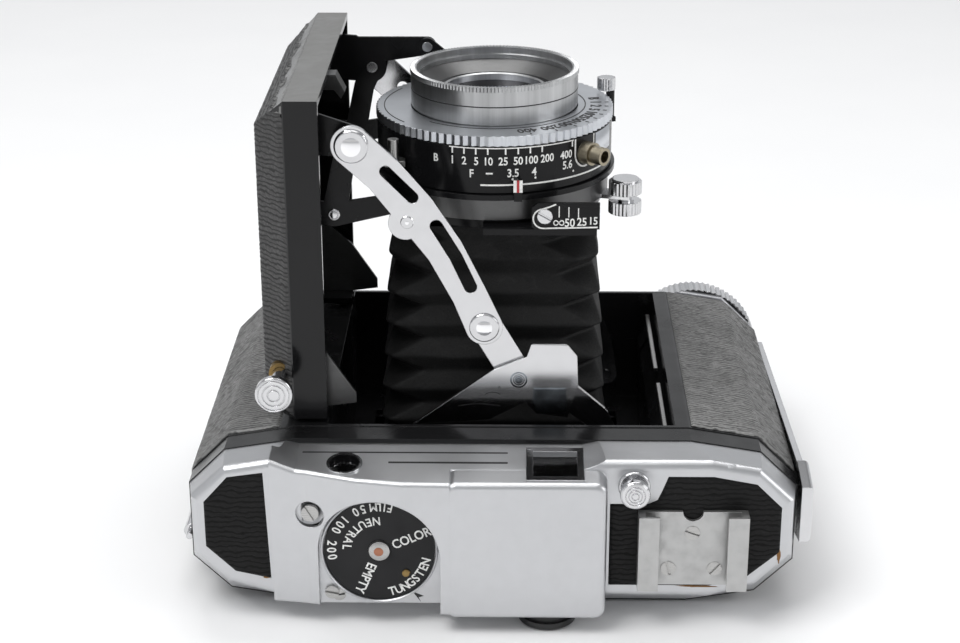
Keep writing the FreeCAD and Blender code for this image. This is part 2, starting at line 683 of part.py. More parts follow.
# ---------------------------------------------------------------- struts

def strut_arm():
    """The long chrome arm from the bed to the elbow, with two lightening slots."""
    edge = [(STUD[0], STUD[1], 4.0), (-21.0, 86.4, 3.9), (-15.2, 79.2, 4.1), (-9.4, 71.0, 3.7),
            (-4.6, 61.6, 3.5), (ELBOW[0], ELBOW[1], 3.7)]
    arm = strap(edge, ARM_LAYER)
    arm = arm.fuse(strap([(-17.0, 76.6, 3.4), (-15.4, 78.2, 3.4)], ARM_LAYER))
    slots = [strap([(-20.7, 87.1, 1.2), (-15.6, 81.9, 1.2)], (30, 32)),
             strap([(-11.0, 76.0, 1.3), (-7.2, 69.6, 1.3), (-4.4, 63.4, 1.3)], (30, 32))]
    hole = round_y(STUD[0], STUD[1], 1.2 + PIN_PLAY, 30, 32)
    arm = arm.cut(slots + [hole])
    rivet = round_y(-16.7, 76.8, 1.2, 31.2, 31.7)
    return join([arm, rivet])


def elbow_screws():
    screw = round_y(ELBOW[0], ELBOW[1], 3.0, 31.3, 31.9)
    screw = soften(screw, 0.35, lambda e: e.BoundBox.YMin > 31.8)
    return group([screw, mirrored(screw)])


def strut_leg():
    """The curved chrome leg from the elbow down to its pivot in the body."""
    path = [(ELBOW[0], ELBOW[1], 3.2), (LEVER_PIVOT[0], LEVER_PIVOT[1], 3.2), (14.6, 39.6, 2.9),
            (21.0, 34.4, 2.6), (24.4, 27.4, 2.3), (LEG_PIVOT[0], LEG_PIVOT[1], 2.5)]
    leg = strap(path, LEG_LAYER)
    pivot = round_y(LEG_PIVOT[0], LEG_PIVOT[1], 1.1 + PIN_PLAY, 20, 40)
    relief = round_y(ELBOW[0], ELBOW[1], 1.6, 20, 40)
    lever_pin = round_y(LEVER_PIVOT[0], LEVER_PIVOT[1], 1.0, LEG_LAYER[1], LEVER_LAYER[1])
    return join([leg.cut([pivot, relief]), lever_pin])


def lock_lever():
    """The pointed lever that locks the elbow, with a ribbed tab."""
    y0, y1 = LEVER_LAYER
    outline = [(-16.2, 33.1), (0.1, 45.2), (6.8, 48.0), (7.7, 50.7), (14.9, 50.5), (16.9, 48.0),
               (17.2, 41.7),
               (15.1, 34.7), (8.7, 35.7), (6.5, 38.2), (-0.8, 34.2)]
    lever = plate_xz(outline, y0, y1)
    return lever.cut(round_y(LEVER_PIVOT[0], LEVER_PIVOT[1], 1.0 + PIN_PLAY, 20, 40))


def leg_pivots():
    pin = round_y(LEG_PIVOT[0], LEG_PIVOT[1], 1.1, 28.5, 36.9)
    return group([pin, mirrored(pin)])


def carrier_link():
    """The link on the far side that lets the lens standard down into the body."""
    x0, z0 = CARRIER_TOP
    x1, z1 = CARRIER_END
    middle = ((x0 + x1) / 2 - 1.5, (z0 + z1) / 2 - 2.5, 2.4)
    link = strap([(x0, z0, 2.0), middle, (x1, z1, 2.2)], CARRIER_LAYER)
    holes = [round_y(x, z, 1.1 + PIN_PLAY, 20, 40) for x, z in (CARRIER_TOP, CARRIER_END)]
    return link.cut(holes)


# ---------------------------------------------------------------- lens unit

def lens_standard():
    pan = ring_z(PAN_R, TUBE_R + 0.6, PAN_BOTTOM, PAN_TOP)
    groove = ring_z(20.6, 16.2, PAN_BOTTOM + 1.4, PAN_TOP + 1)
    pan = pan.cut(groove)
    x, z = CARRIER_END
    web = box(5.4, 13.6, 15.0, 26.6, PAN_BOTTOM, PAN_BOTTOM + 1.3)
    web = web.cut(round_z(0, 0, TUBE_R + 0.6, 70, 80))
    ear = plate_xz([(5.4, PAN_BOTTOM), (13.6, PAN_BOTTOM), (13.6, 80), (12.4, 84.2), (8.2, 84.2), (5.4, 80)],
                   25.8, 26.6)
    pin = round_y(x, z, 1.1, 26.0, 27.5)
    shelf = box(-2.0, 20.5, -26.6, -12.0, PAN_BOTTOM, PAN_BOTTOM + 1.3)
    shelf = shelf.cut(round_z(0, 0, TUBE_R + 0.6, 70, 80))
    return join([pan, web, ear, pin, shelf])


def focus_scale():
    """The distance scale plate on the near side of the standard."""
    points = [(7.6, 74.2), (8.2, 73.8), (21.0, 73.8), (21.0, 79.2), (9.0, 79.2), (7.6, 78.2)]
    plate = plate_xz(points, -26.6, -25.8)
    return join([plate, screw_y(10.2, 76.6, 1.5, -27.2, -26.6, 30)])


def focus_ring():
    """The focusing ring with its lever and double knurled knob."""
    ring = ring_z(23.6, PAN_R + 0.3, 74.6, 78.8)
    x, y = KNOB_CENTRE
    lever = box(21.0, 29.5, -2.2, 2.2, 74.4, 75.2)
    lever.rotate(Vector(0, 0, 0), Vector(0, 0, 1), math.degrees(math.atan2(y, x)))
    lever = lever.cut(round_z(0, 0, PAN_R + 0.3, 70, 90))
    neck = round_z(x, y, 1.4, 72.0, 77.0)
    discs = [toothed(3.4, 0.25, 26, (x, y, z), "Z", 2.6) for z in (71.2, 75.4)]
    caps = [round_z(x, y, 2.7, 77.9, 78.5)]
    return join([ring, lever, neck] + discs + caps)


def shutter_case():
    case = round_z(0, 0, CASE_R, CASE_BOTTOM, CASE_TOP)
    collar = ring_z(TUBE_R + 2.4, TUBE_R, 79.0, CASE_BOTTOM + 0.1)
    case = case.cut(round_z(0, 0, TUBE_R, 70, 95))
    return group([join([case, collar]), flash_socket()])


def speed_ring():
    face = toothed(24.4, 0.45, 90, (0, 0, 90.0), "Z", 2.0)
    return face.cut(round_z(0, 0, RIM_NECK_R + 0.3, 80, 99))


def aperture_ring():
    ring = ring_z(24.9, TUBE_R + 2.7, 79.1, 80.2)
    pointer = box(4.1, 5.7, -25.4, -24.5, 79.1, 83.6)
    return join([ring, pointer.cut(round_z(0, 0, CASE_R + 0.15, 70, 95))])


def lens_barrel():
    rim = round_z(0, 0, RIM_R, RIM_BOTTOM, RIM_TOP)
    neck = round_z(0, 0, RIM_NECK_R, CASE_TOP, RIM_BOTTOM + 0.1)
    tube = round_z(0, 0, TUBE_R, 70.2, 89.9)
    barrel = join([rim, neck, tube])
    front = round_z(0, 0, 16.0, 97.4, 101)
    cone = Part.makeCone(10.6, 15.6, 3.2, Vector(0, 0, 94.2), Vector(0, 0, 1))
    throat = [round_z(0, 0, 10.2, 88.0, 94.3), round_z(0, 0, 8.0, 84.0, 88.1), round_z(0, 0, 11.6, 69, 84.1)]
    return barrel.cut([front, cone] + throat)


def dome_lens(radius, z_edge, thick, bulge, up):
    """A lens with one bulged face."""
    disc = round_z(0, 0, radius, z_edge - thick, z_edge)
    sphere_r = (radius ** 2 + bulge ** 2) / (2 * bulge)
    centre = z_edge + bulge - sphere_r if up else z_edge - thick - bulge + sphere_r
    ball = Part.makeSphere(sphere_r, Vector(0, 0, centre))
    zone = round_z(0, 0, radius, z_edge, z_edge + bulge + 1) if up else \
        round_z(0, 0, radius, z_edge - thick - bulge - 1, z_edge - thick)
    return disc.fuse(ball.common(zone)).removeSplitter()


def lens_elements():
    """The front and the rear group."""
    return group([dome_lens(10.2, 93.0, 2.4, 1.5, True), dome_lens(11.6, 74.6, 2.4, 1.2, False)])


def shutter_blades():
    """The closed shutter and iris pack between the lens groups."""
    return group([round_z(0, 0, 8.0, 85.0, 85.4), ring_z(8.0, 6.4, 86.4, 86.8)])


def flash_socket():
    direction = Vector(math.cos(math.radians(FLASH_ANGLE)), math.sin(math.radians(FLASH_ANGLE)), 0)
    start = Vector(direction.x * 23.6, direction.y * 23.6, 86.4)
    body = Part.makeCylinder(2.3, 2.8, start, direction)
    neck = Part.makeCylinder(1.6, 5.6, start, direction)
    tip = Part.makeCylinder(1.8, 2.5, start + direction * 3.1, direction)
    socket = join([body, neck, tip])
    bore = Part.makeCylinder(1.2, 6.0, start + direction * 2.0, direction)
    return socket.cut([bore, round_z(0, 0, CASE_R, 70, 95)])


def cocking_lever():
    """A foot in the side of the case, a post outside the speed ring and a low milled knob on it."""
    angle = math.radians(COCKING_ANGLE)
    x, y = COCKING_R * math.cos(angle), COCKING_R * math.sin(angle)
    post = round_z(x, y, 0.9, 86.6, 92.9)
    foot = box(COCKING_R - 1.5, COCKING_R + 0.5, -2.0, 1.0, 86.0, 87.0)
    foot.rotate(Vector(0, 0, 0), Vector(0, 0, 1), COCKING_ANGLE)
    knob = toothed(1.9, 0.2, 20, (x - 0.9, y - 0.35, 92.6), "Z", 2.6)
    return join([post, foot, knob])


def shutter_lever():
    """The small lever that the release rod pushes, on the left of the shutter."""
    x, y = -19.2, -17.6
    plate = box(x - 2.4, x + 1.6, y - 1.6, y + 1.6, 84.2, 85.4)
    plate = plate.cut(round_z(0, 0, CASE_R + 0.3, 70, 95))
    pin = round_z(x - 0.8, y - 0.2, 1.1, 85.3, 89.6)
    return join([plate, pin])


def bellows():
    """The space the bellows fill when open, as a tapered hollow box."""
    def frustum(low, high, z0, z1):
        corners = [(-1, -1), (1, -1), (1, 1), (-1, 1), (-1, -1)]
        lower = Part.makePolygon([Vector(x * low, y * low, z0) for x, y in corners])
        upper = Part.makePolygon([Vector(x * high, y * high, z1) for x, y in corners])
        return Part.makeLoft([lower, upper], True, True)
    outside = frustum(BELLOWS_LOW, BELLOWS_HIGH, GATE_Z + 0.2, PAN_BOTTOM - 0.1)
    return outside.cut(frustum(BELLOWS_LOW - BELLOWS_WALL, BELLOWS_HIGH - BELLOWS_WALL, GATE_Z, PAN_BOTTOM))


def main():
    os.makedirs("parts", exist_ok=True)
    for node, shape in {
        "body_casting": body_casting(), "film_gate": film_gate(), "body_leather": body_leather(),
        "bottom_plate": bottom_plate(), "tripod_bush": tripod_bush(), "top_cover": top_cover(),
        "finder_frame": finder_frame(), "finder_glass": finder_glass(),
        "rangefinder_ring": rangefinder_ring(),
        "rangefinder_mirrors": rangefinder_mirrors(), "eyepiece": eyepiece(),
        "top_cover_leather": top_cover_leather(), "accessory_shoe": accessory_shoe(),
        "shoe_spring": shoe_spring(), "cover_screws": cover_screws(), "release_collar": release_collar(),
        "release_button": release_button(), "memo_dial": memo_dial(), "supply_spool": supply_spool(),
        "take_up_spool": take_up_spool(), "wind_knob": wind_knob(), "film_roller_left": film_roller(-35.6),
        "film_roller_right": film_roller(35.6), "back_door": back_door(), "back_leather": back_leather(),
        "back_hinge_pin": back_hinge_pin(), "pressure_plate": pressure_plate(),
        "pressure_spring": pressure_spring(), "red_window": red_window(),
        "red_window_cover": red_window_cover(),
        "back_latch": back_latch(), "bed_shell": bed_shell(), "bed_leather": bed_leather(),
        "bed_brackets": bed_brackets(), "strut_studs": strut_studs(), "bed_catch": bed_catch(),
        "bed_button_grommet": bed_button_grommet(), "bed_release_button": bed_release_button(),
        "bed_hinge_pins": bed_hinge_pins(), "strut_arm_near": mirrored(strut_arm()),
        "strut_arm_far": strut_arm(), "elbow_screws": elbow_screws(),
        "strut_leg_near": mirrored(strut_leg()),
        "strut_leg_far": strut_leg(), "lock_lever_near": mirrored(lock_lever()),
        "lock_lever_far": lock_lever(),
        "leg_pivots": leg_pivots(), "carrier_link": carrier_link(), "lens_standard": lens_standard(),
        "focus_scale": focus_scale(), "focus_ring": focus_ring(), "shutter_case": shutter_case(),
        "speed_ring": speed_ring(), "aperture_ring": aperture_ring(), "lens_barrel": lens_barrel(),
        "lens_elements": lens_elements(), "shutter_blades": shutter_blades(),
        "cocking_lever": cocking_lever(),
        "shutter_lever": shutter_lever(), "bellows": bellows(),
    }.items():
        save(node, shape)


main()
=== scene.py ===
"""Folding roll-film camera, open on its back, on a pale floor.

Everything is in metres, in the frame of the CAD. Lengths in this script are given in millimetres
and multiplied by MM. The lens axis is +Z, +X is the photographer's right hand, -Y is the top cover.
"""
import json
import math

import bmesh
import bpy
from mathutils import Matrix, Vector, noise
from mathutils.geometry import delaunay_2d_cdt

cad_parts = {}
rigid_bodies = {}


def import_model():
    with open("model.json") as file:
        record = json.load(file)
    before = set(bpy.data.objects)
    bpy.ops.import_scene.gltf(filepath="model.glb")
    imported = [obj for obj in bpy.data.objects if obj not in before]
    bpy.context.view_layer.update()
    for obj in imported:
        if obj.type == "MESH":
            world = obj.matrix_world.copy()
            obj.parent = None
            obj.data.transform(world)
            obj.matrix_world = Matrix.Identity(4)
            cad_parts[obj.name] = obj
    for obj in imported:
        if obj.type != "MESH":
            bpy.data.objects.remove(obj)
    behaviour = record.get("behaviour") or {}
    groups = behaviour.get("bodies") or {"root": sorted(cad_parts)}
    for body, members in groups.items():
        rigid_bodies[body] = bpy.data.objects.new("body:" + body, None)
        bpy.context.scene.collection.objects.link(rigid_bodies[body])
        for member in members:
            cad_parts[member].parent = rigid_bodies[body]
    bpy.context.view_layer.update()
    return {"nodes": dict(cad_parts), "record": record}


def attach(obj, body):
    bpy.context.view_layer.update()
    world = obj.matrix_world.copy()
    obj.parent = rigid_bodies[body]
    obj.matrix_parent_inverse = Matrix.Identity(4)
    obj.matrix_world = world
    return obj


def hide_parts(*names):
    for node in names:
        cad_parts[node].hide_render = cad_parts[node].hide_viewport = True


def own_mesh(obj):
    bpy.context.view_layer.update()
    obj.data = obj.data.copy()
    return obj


MM = 0.001
COVER_Y = -51.9              # low level of the top cover
BODY_SKIN = (-36.9, 36.9)    # y of the body leather's two edges
DIAL = (-22.0, 16.4)         # x and z of the memo dial's centre
DIAL_Y = -53.0               # face of the memo dial
WORD_R = 9.3                 # middle of the memo dial's outer ring of words
CASE_R = 24.2                # shutter case
CASE_DIGITS = 87.05          # z of the middle of the speeds on the shutter case
RING_R = 20.6                # radius that letter widths on the speed ring are true at
RING_TOP = 92.0              # face of the speed ring
SCALE_Y = -26.6              # face of the focus scale
LEVER_Y = -30.3              # face of the lock lever
BED_FACE = -45.6             # outer face of the bed under its leather
BED_SKIN_Z = (37.3, 102.3)   # z of the bed leather's two ends
BED_SKIN_Y = 35.9            # half the bed leather's width
TEAR_Z = 100.0               # mean height of the tear across the bed's leather
FONT_CAP = 0.729             # height of the font's capitals
LETTER_WIDTH = 0.86          # letters are this much narrower than the font's
SINK = -0.02                 # markings start this far below the surface

WORLD_STRENGTH = 0.8
SKY = ((0.10, 0.62), (0.37, 0.85), (0.52, 0.30), (0.70, 0.17), (0.86, 0.55))    # height, grey
SKY_BOTTOM, SKY_TOP = (0.80, 0.80, 0.80, 1), (0.95, 0.95, 0.95, 1)
FILL_POWER, FILL_ANGLE = 0.42, 150
YAW_PITCH_ROLL = (-1.10, 21.99, -0.18)
EYE = (4.51, -398.6, 204.4)
FOCAL_LENGTH, SENSOR = 74.87, 36.0

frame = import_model()


# ---------------------------------------------------------------- materials

class Shader:
    """A Principled material with short calls for its nodes. Coordinates are in millimetres."""

    def __init__(self, name, colour, roughness, metallic=0.0, **sockets):
        self.material = bpy.data.materials.new(name)
        self.material.use_nodes = True
        self.material.diffuse_color = (*colour, 1.0)
        self.tree = self.material.node_tree
        self.bsdf = self.tree.nodes["Principled BSDF"]
        base = {"Base Color": (*colour, 1.0), "Roughness": roughness, "Metallic": metallic}
        self.set(self.bsdf, base)
        self.set(self.bsdf, {key.replace("_", " "): value for key, value in sockets.items()})
        self.place = self.node("TexCoord").outputs["Object"]
        self.place = self.stretched(1 / MM, 1 / MM, 1 / MM)

    def set(self, node, inputs):
        for key, value in inputs.items():
            if isinstance(value, bpy.types.NodeSocket):
                self.tree.links.new(value, node.inputs[key])
            else:
                node.inputs[key].default_value = value

    def node(self, kind, inputs=None, **properties):
        node = self.tree.nodes.new("ShaderNode" + kind)
        for key, value in properties.items():
            setattr(node, key, value)
        self.set(node, inputs or {})
        return node

    def stretched(self, x, y, z):
        """The coordinates with each axis scaled."""
        scale = {0: self.place, 1: (x, y, z)}
        return self.node("VectorMath", scale, operation="MULTIPLY").outputs[0]

    def noise(self, scale, detail=3.0, vector=None, distortion=0.0, roughness=0.5):
        inputs = {"Vector": vector or self.place, "Scale": scale, "Detail": detail,
                  "Distortion": distortion, "Roughness": roughness}
        return self.node("TexNoise", inputs).outputs["Fac"]

    def cells(self, scale, feature="F1"):
        inputs = {"Vector": self.place, "Scale": scale}
        return self.node("TexVoronoi", inputs, feature=feature).outputs["Distance"]

    def math(self, operation, a, b=0.5, c=0.0):
        return self.node("Math", {0: a, 1: b, 2: c}, operation=operation).outputs[0]

    def spread(self, value, low, high, to_low=0.0, to_high=1.0):
        """Maps low..high to to_low..to_high, held at the ends."""
        inputs = {"Value": value, "From Min": low, "From Max": high,
                  "To Min": to_low, "To Max": to_high}
        return self.node("MapRange", inputs).outputs[0]

    def mix(self, factor, a, b):
        node = self.node("Mix", data_type="RGBA")
        colour = [socket for socket in node.inputs if socket.type == "RGBA"]
        self.tree.links.new(factor, node.inputs[0])
        for socket, value in zip(colour, (a, b)):
            if isinstance(value, bpy.types.NodeSocket):
                self.tree.links.new(value, socket)
            else:
                socket.default_value = (*value, 1.0)
        return [socket for socket in node.outputs if socket.type == "RGBA"][0]

    def edge(self, radius):
        """Rounds sharp edges in shading."""
        return self.node("Bevel", {"Radius": radius * MM}, samples=3).outputs[0]

    def bump(self, height, depth, normal=None):
        """Bump of a height from 0 to 1 that stands for depth millimetres."""
        node = self.node("Bump", {"Height": height, "Distance": depth * MM, "Strength": 1.0})
        if normal:
            self.tree.links.new(normal, node.inputs["Normal"])
        return node.outputs[0]

    def finish(self, colour=None, roughness=None, normal=None):
        for key, socket in (("Base Color", colour), ("Roughness", roughness), ("Normal", normal)):
            if socket:
                self.tree.links.new(socket, self.bsdf.inputs[key])
        return self.material


def shade(colour, factor):
    return tuple(value * factor for value in colour)


def chrome(name, colour, roughness, grain=0.004, edge=0.12, uneven=0.04):
    """Plated metal: a fine grain, faint smudges and rounded edges."""
    shader = Shader(name, colour, roughness, 1.0)
    smudge = shader.noise(0.09, 4.0, distortion=0.6)
    fine = shader.noise(9.0, 2.0)
    rough = shader.spread(smudge, 0.3, 0.7, roughness * 0.92, roughness * 1.1)
    patch = shader.spread(shader.noise(0.35, 5.0), 0.35, 0.7)
    tone = shader.mix(patch, colour, shade(colour, 1 - uneven))
    normal = shader.bump(fine, grain, shader.edge(edge) if edge else None)
    return shader.finish(tone, rough, normal)


def brushed(name, colour, roughness, along=(0.15, 6.0, 6.0)):
    """Metal with fine lines in one direction."""
    shader = Shader(name, colour, roughness, 1.0)
    lines = shader.noise(2.0, 3.0, shader.stretched(*along))
    rough = shader.spread(lines, 0.3, 0.7, roughness * 0.75, roughness * 1.3)
    tone = shader.mix(shader.noise(0.3, 4.0), colour, shade(colour, 0.88))
    return shader.finish(tone, rough, shader.bump(lines, 0.006, shader.edge(0.1)))


def turned(name, colour, roughness):
    """Metal turned on a lathe about the lens axis: fine rings along Z, and soft upright bands that
    darken its colour, as painted reflection.
    """
    shader = Shader(name, colour, roughness, 1.0)
    lines = shader.noise(2.0, 4.0, shader.stretched(0.12, 0.12, 14.0))
    # Painted reflection: soft upright bands that darken the colour to 0.7 of itself.
    reflection_bands = shader.noise(0.35, 5.0, shader.stretched(1.0, 1.0, 0.03), roughness=0.65)
    rough = shader.spread(lines, 0.3, 0.7, roughness * 0.9, roughness * 1.15)
    tone = shader.mix(shader.spread(reflection_bands, 0.34, 0.66), shade(colour, 0.7), colour)
    return shader.finish(tone, rough, shader.bump(lines, 0.002, shader.edge(0.08)))


def enamel(name, colour=(0.006, 0.006, 0.0065), roughness=0.2, edge=0.15, gloss=0.2):
    """Black paint on metal, with dust and a little orange peel."""
    shader = Shader(name, colour, roughness, Specular_IOR_Level=gloss)
    dust = shader.spread(shader.cells(0.9), 0.0, 0.05, 1.0, 0.0)
    patch = shader.spread(shader.noise(0.13, 3.0), 0.56, 0.66)
    speck = shader.math("MULTIPLY", dust, patch)
    tone = shader.mix(speck, colour, (0.16, 0.155, 0.15))
    haze = shader.noise(0.12, 4.0, distortion=0.5)
    rough = shader.spread(haze, 0.3, 0.75, roughness * 0.7, roughness * 1.6)
    peel = shader.noise(1.1, 2.0)
    return shader.finish(tone, rough, shader.bump(peel, 0.006, shader.edge(edge)))


def leather(name, lines, colour=(0.019, 0.0185, 0.0185), period=0.9, depth=0.09, gloss=0.6):
    """Black straight-grained leather: wavy creases that run across the axis called lines, their valleys
    and the seams between pebbles darkened in colour as painted shade.
    """
    shader = Shader(name, colour, 0.5, Specular_IOR_Level=gloss)
    inputs = {"Vector": shader.place, "Scale": 0.314 / period, "Distortion": 5.5,
              "Detail": 2.0, "Detail Scale": 1.2, "Detail Roughness": 0.55}
    waves = shader.node("TexWave", inputs, wave_type="BANDS", bands_direction=lines).outputs["Fac"]
    crest = shader.spread(waves, 0.05, 0.5)
    pebble = shader.spread(shader.cells(1.7, feature="SMOOTH_F1"), 0.05, 0.65, 1.0, 0.6)
    body = shader.math("MULTIPLY", crest, pebble)
    height = shader.math("MULTIPLY_ADD", shader.noise(5.0, 3.0), 0.15, body)
    worn = shader.spread(shader.noise(0.07, 4.0), 0.45, 0.75)
    high = shader.mix(worn, colour, shade(colour, 1.6))
    # Painted shade: the colour drops to a third of the leather's own in the crease valleys and between
    # the pebbles.
    tone = shader.mix(body, shade(colour, 0.32), high)
    rough = shader.spread(body, 0.0, 1.0, 0.72, 0.35)
    return shader.finish(tone, rough, shader.bump(height, depth))


def cloth(name, colour, roughness):
    """Matt black bellows leather: thin, almost smooth, with scuffs."""
    shader = Shader(name, colour, roughness, Specular_IOR_Level=0.25)
    scuff = shader.spread(shader.noise(0.5, 5.0, distortion=1.0), 0.55, 0.8)
    tone = shader.mix(scuff, colour, shade(colour, 2.2))
    weave = shader.noise(3.5, 4.0)
    rough = shader.spread(weave, 0.3, 0.7, roughness * 0.85, 0.8)
    return shader.finish(tone, rough, shader.bump(weave, 0.05))


def plastic(name, colour, roughness):
    """Moulded plastic, a little uneven in tone and gloss."""
    shader = Shader(name, colour, roughness)
    tone = shader.mix(shader.noise(0.4, 4.0), colour, shade(colour, 1.6))
    rough = shader.spread(shader.noise(0.8, 3.0), 0.3, 0.7, roughness * 0.8, roughness * 1.25)
    return shader.finish(tone, rough, shader.bump(shader.noise(6.0, 2.0), 0.01, shader.edge(0.1)))


def ink(name, colour, roughness=0.45):
    """Filled engraving or print, slightly uneven."""
    shader = Shader(name, colour, roughness)
    patch = shader.spread(shader.noise(2.5, 3.0), 0.4, 0.75)
    tone = shader.mix(patch, colour, shade(colour, 0.72))
    return shader.finish(tone)


def glass(name, colour, roughness=0.02, coating=0.0):
    """Clear glass. coating is the share that reflects like a metal, as a coated lens does."""
    shader = Shader(name, colour, roughness, coating, Transmission_Weight=1.0, IOR=1.6)
    smear = shader.spread(shader.noise(0.5, 3.0), 0.3, 0.7, roughness, roughness * 2.5)
    return shader.finish(None, smear)


SATIN = chrome("satin_chrome", (0.56, 0.565, 0.578), 0.36, 0.008, 0.3, 0.03)
POLISHED = chrome("polished_chrome", (0.64, 0.64, 0.65), 0.13, 0.001, 0.22)
MATT_STEEL = brushed("matt_steel", (0.50, 0.50, 0.495), 0.44, (0.3, 5.0, 0.3))
STEEL = brushed("steel", (0.48, 0.475, 0.465), 0.30)
TURNED = turned("turned_chrome", (0.54, 0.545, 0.55), 0.32)
NICKEL = brushed("aged_nickel", (0.36, 0.32, 0.24), 0.34)
SPUN = chrome("spun_chrome", (0.60, 0.62, 0.65), 0.32, 0.004, 0.15, 0.06)
GUNMETAL = brushed("gunmetal", (0.13, 0.13, 0.13), 0.36)
ENAMEL = enamel("black_enamel")
GLOSS = enamel("gloss_enamel", roughness=0.13, gloss=0.3)
DIAL_PAINT = enamel("dial_paint", (0.013, 0.013, 0.014), 0.42, gloss=0.25)
COVER_LEATHER = leather("cover_leather", "Z", (0.003, 0.003, 0.003), 1.1, 0.07, 0.22)
# The body leather's colour is set far lighter than the other black leathers. This is painted sheen: the
# sky's reflection painted into its colour.
BODY_LEATHER_PAINTED_SHEEN = leather("body_leather", "Y", (0.16, 0.159, 0.156), 0.95, 0.2)
BED_LEATHER = leather("bed_leather", "Z", (0.024, 0.0235, 0.0235), 1.0, 0.16)
# Mid-grey: the bare surface where the bed's leather is torn away, and painted sky reflection on the
# bed's upward rim.
BARE_GREY_AND_SHEEN = enamel("bare_bed", (0.15, 0.15, 0.147), 0.5, gloss=0.4)
WORN = enamel("worn_enamel", (0.008, 0.008, 0.0085), 0.2, gloss=0.35)
BELLOWS = cloth("bellows_leather", (0.0065, 0.0065, 0.0065), 0.62)
BRASS = brushed("brass", (0.30, 0.205, 0.085), 0.38)
PLASTIC = plastic("black_plastic", (0.012, 0.012, 0.012), 0.35)
CLEAR = glass("clear_glass", (0.97, 0.98, 1.0))
LENS = glass("lens_glass", (0.90, 0.92, 1.0), 0.015, 0.3)
RED = glass("red_glass", (0.6, 0.02, 0.02), 0.08)
MIRROR = chrome("mirror_glass", (0.9, 0.9, 0.91), 0.03, 0.0005, 0)
# A darker, bluish copy of the chrome. Painted reflection on the lock lever's bevelled facet and rivet.
DARK_REFLECTION_CHROME = chrome("darkened_chrome_reflection", (0.30, 0.33, 0.36), 0.2, 0.01, 0, 0.6)
BLADE = brushed("blade_steel", (0.09, 0.09, 0.10), 0.28)
WHITE = ink("white_fill", (0.82, 0.82, 0.80))
BLACK = ink("black_fill", (0.012, 0.012, 0.013))
RUST = plastic("old_glue", (0.16, 0.075, 0.018), 0.55)
COPPER = brushed("copper", (0.42, 0.19, 0.12), 0.35)
RED_INK = ink("red_fill", (0.42, 0.02, 0.025))

BY_SLOT = {
    "satin_chrome": SATIN, "polished_chrome": POLISHED, "steel": STEEL, "black_enamel": ENAMEL,
    "black_leather": BODY_LEATHER_PAINTED_SHEEN, "bellows_leather": BELLOWS, "brass": BRASS, "black_plastic": PLASTIC,
    "clear_glass": CLEAR, "red_glass": RED, "mirror_glass": MIRROR, "blade_steel": BLADE,
}
BY_NODE = {"bed_leather": BED_LEATHER, "top_cover_leather": COVER_LEATHER, "lens_barrel": TURNED,
           "memo_dial": DIAL_PAINT, "bed_shell": GLOSS, "accessory_shoe": MATT_STEEL,
           "speed_ring": SPUN, "body_casting": WORN, "bed_catch": GUNMETAL, "lens_elements": LENS}
for row in frame["record"]["subparts"]:
    part = frame["nodes"][row["node"]]
    part.data.materials.clear()
    part.data.materials.append(BY_NODE.get(row["node"], BY_SLOT[row["material_slot"]]))


def paint(node, material, test):
    """Gives another material to the faces of a CAD node whose middle, in millimetres, passes a test."""
    mesh = frame["nodes"][node].data
    mesh.materials.append(material)
    for polygon in mesh.polygons:
        if test(*(polygon.center / MM)):
            polygon.material_index = len(mesh.materials) - 1


paint("focus_ring", GUNMETAL, lambda x, y, z: math.hypot(x, y) < 24.0)
paint("cocking_lever", ENAMEL, lambda x, y, z: z < 92.5)
paint("lens_barrel", GUNMETAL, lambda x, y, z: math.hypot(x, y) < 15.8 and z < 97.6)
paint("shutter_case", NICKEL, lambda x, y, z: math.hypot(x, y) > 24.6 and x > 12)
# The black shell's upward rim is painted grey as painted reflection of the sky.
paint("bed_shell", BARE_GREY_AND_SHEEN, lambda x, y, z: z > 102.2)
paint("bed_brackets", GUNMETAL, lambda x, y, z: z < 48.5)
paint("focus_scale", POLISHED, lambda x, y, z: y < -26.62)
paint("rangefinder_ring", ENAMEL, lambda x, y, z: math.hypot(x + 28.6, y + 50.2) < 3.1)


# ---------------------------------------------------------------- making pieces

def piece(name, mesh, material, body, replaces=()):
    """An object for a mesh in the row frame, riding on a body."""
    made = bpy.data.objects.new(name, mesh)
    bpy.context.scene.collection.objects.link(made)
    mesh.materials.clear()
    mesh.materials.append(material)
    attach(made, body)
    if replaces:
        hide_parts(*replaces)
    return made


def mesh_of(name, points, faces, smooth=True):
    """A mesh of points in millimetres."""
    mesh = bpy.data.meshes.new(name)
    mesh.from_pydata([Vector(p) * MM for p in points], [], faces)
    mesh.validate()
    mesh.update()
    for polygon in mesh.polygons:
        polygon.use_smooth = smooth
    return mesh


BOX_SIDES = [(0, 4, 5, 1), (1, 5, 6, 2), (2, 6, 7, 3), (3, 7, 4, 0)]    # between two loops of 4


def grid_faces(rows, columns, closed=False):
    """Quads of a grid stored row by row. With closed, the last column joins the first."""
    faces = []
    for row in range(rows - 1):
        for column in range(columns if closed else columns - 1):
            after = (column + 1) % columns
            faces.append((row * columns + column, row * columns + after,
                          (row + 1) * columns + after, (row + 1) * columns + column))
    return faces


def turned_mesh(name, profile, steps=96, axis="Z", centre=(0, 0, 0)):
    """A profile of (radius, height) turned about an axis. A radius of 0 closes it."""
    points = []
    for radius, height in profile:
        for step in range(steps):
            angle = math.tau * step / steps
            a, b = radius * math.cos(angle), radius * math.sin(angle)
            spot = {"Z": (a, b, height), "Y": (a, height, -b)}[axis]
            points.append([spot[i] + centre[i] for i in range(3)])
    mesh = mesh_of(name, points, grid_faces(len(profile), steps, True))
    return welded(mesh)


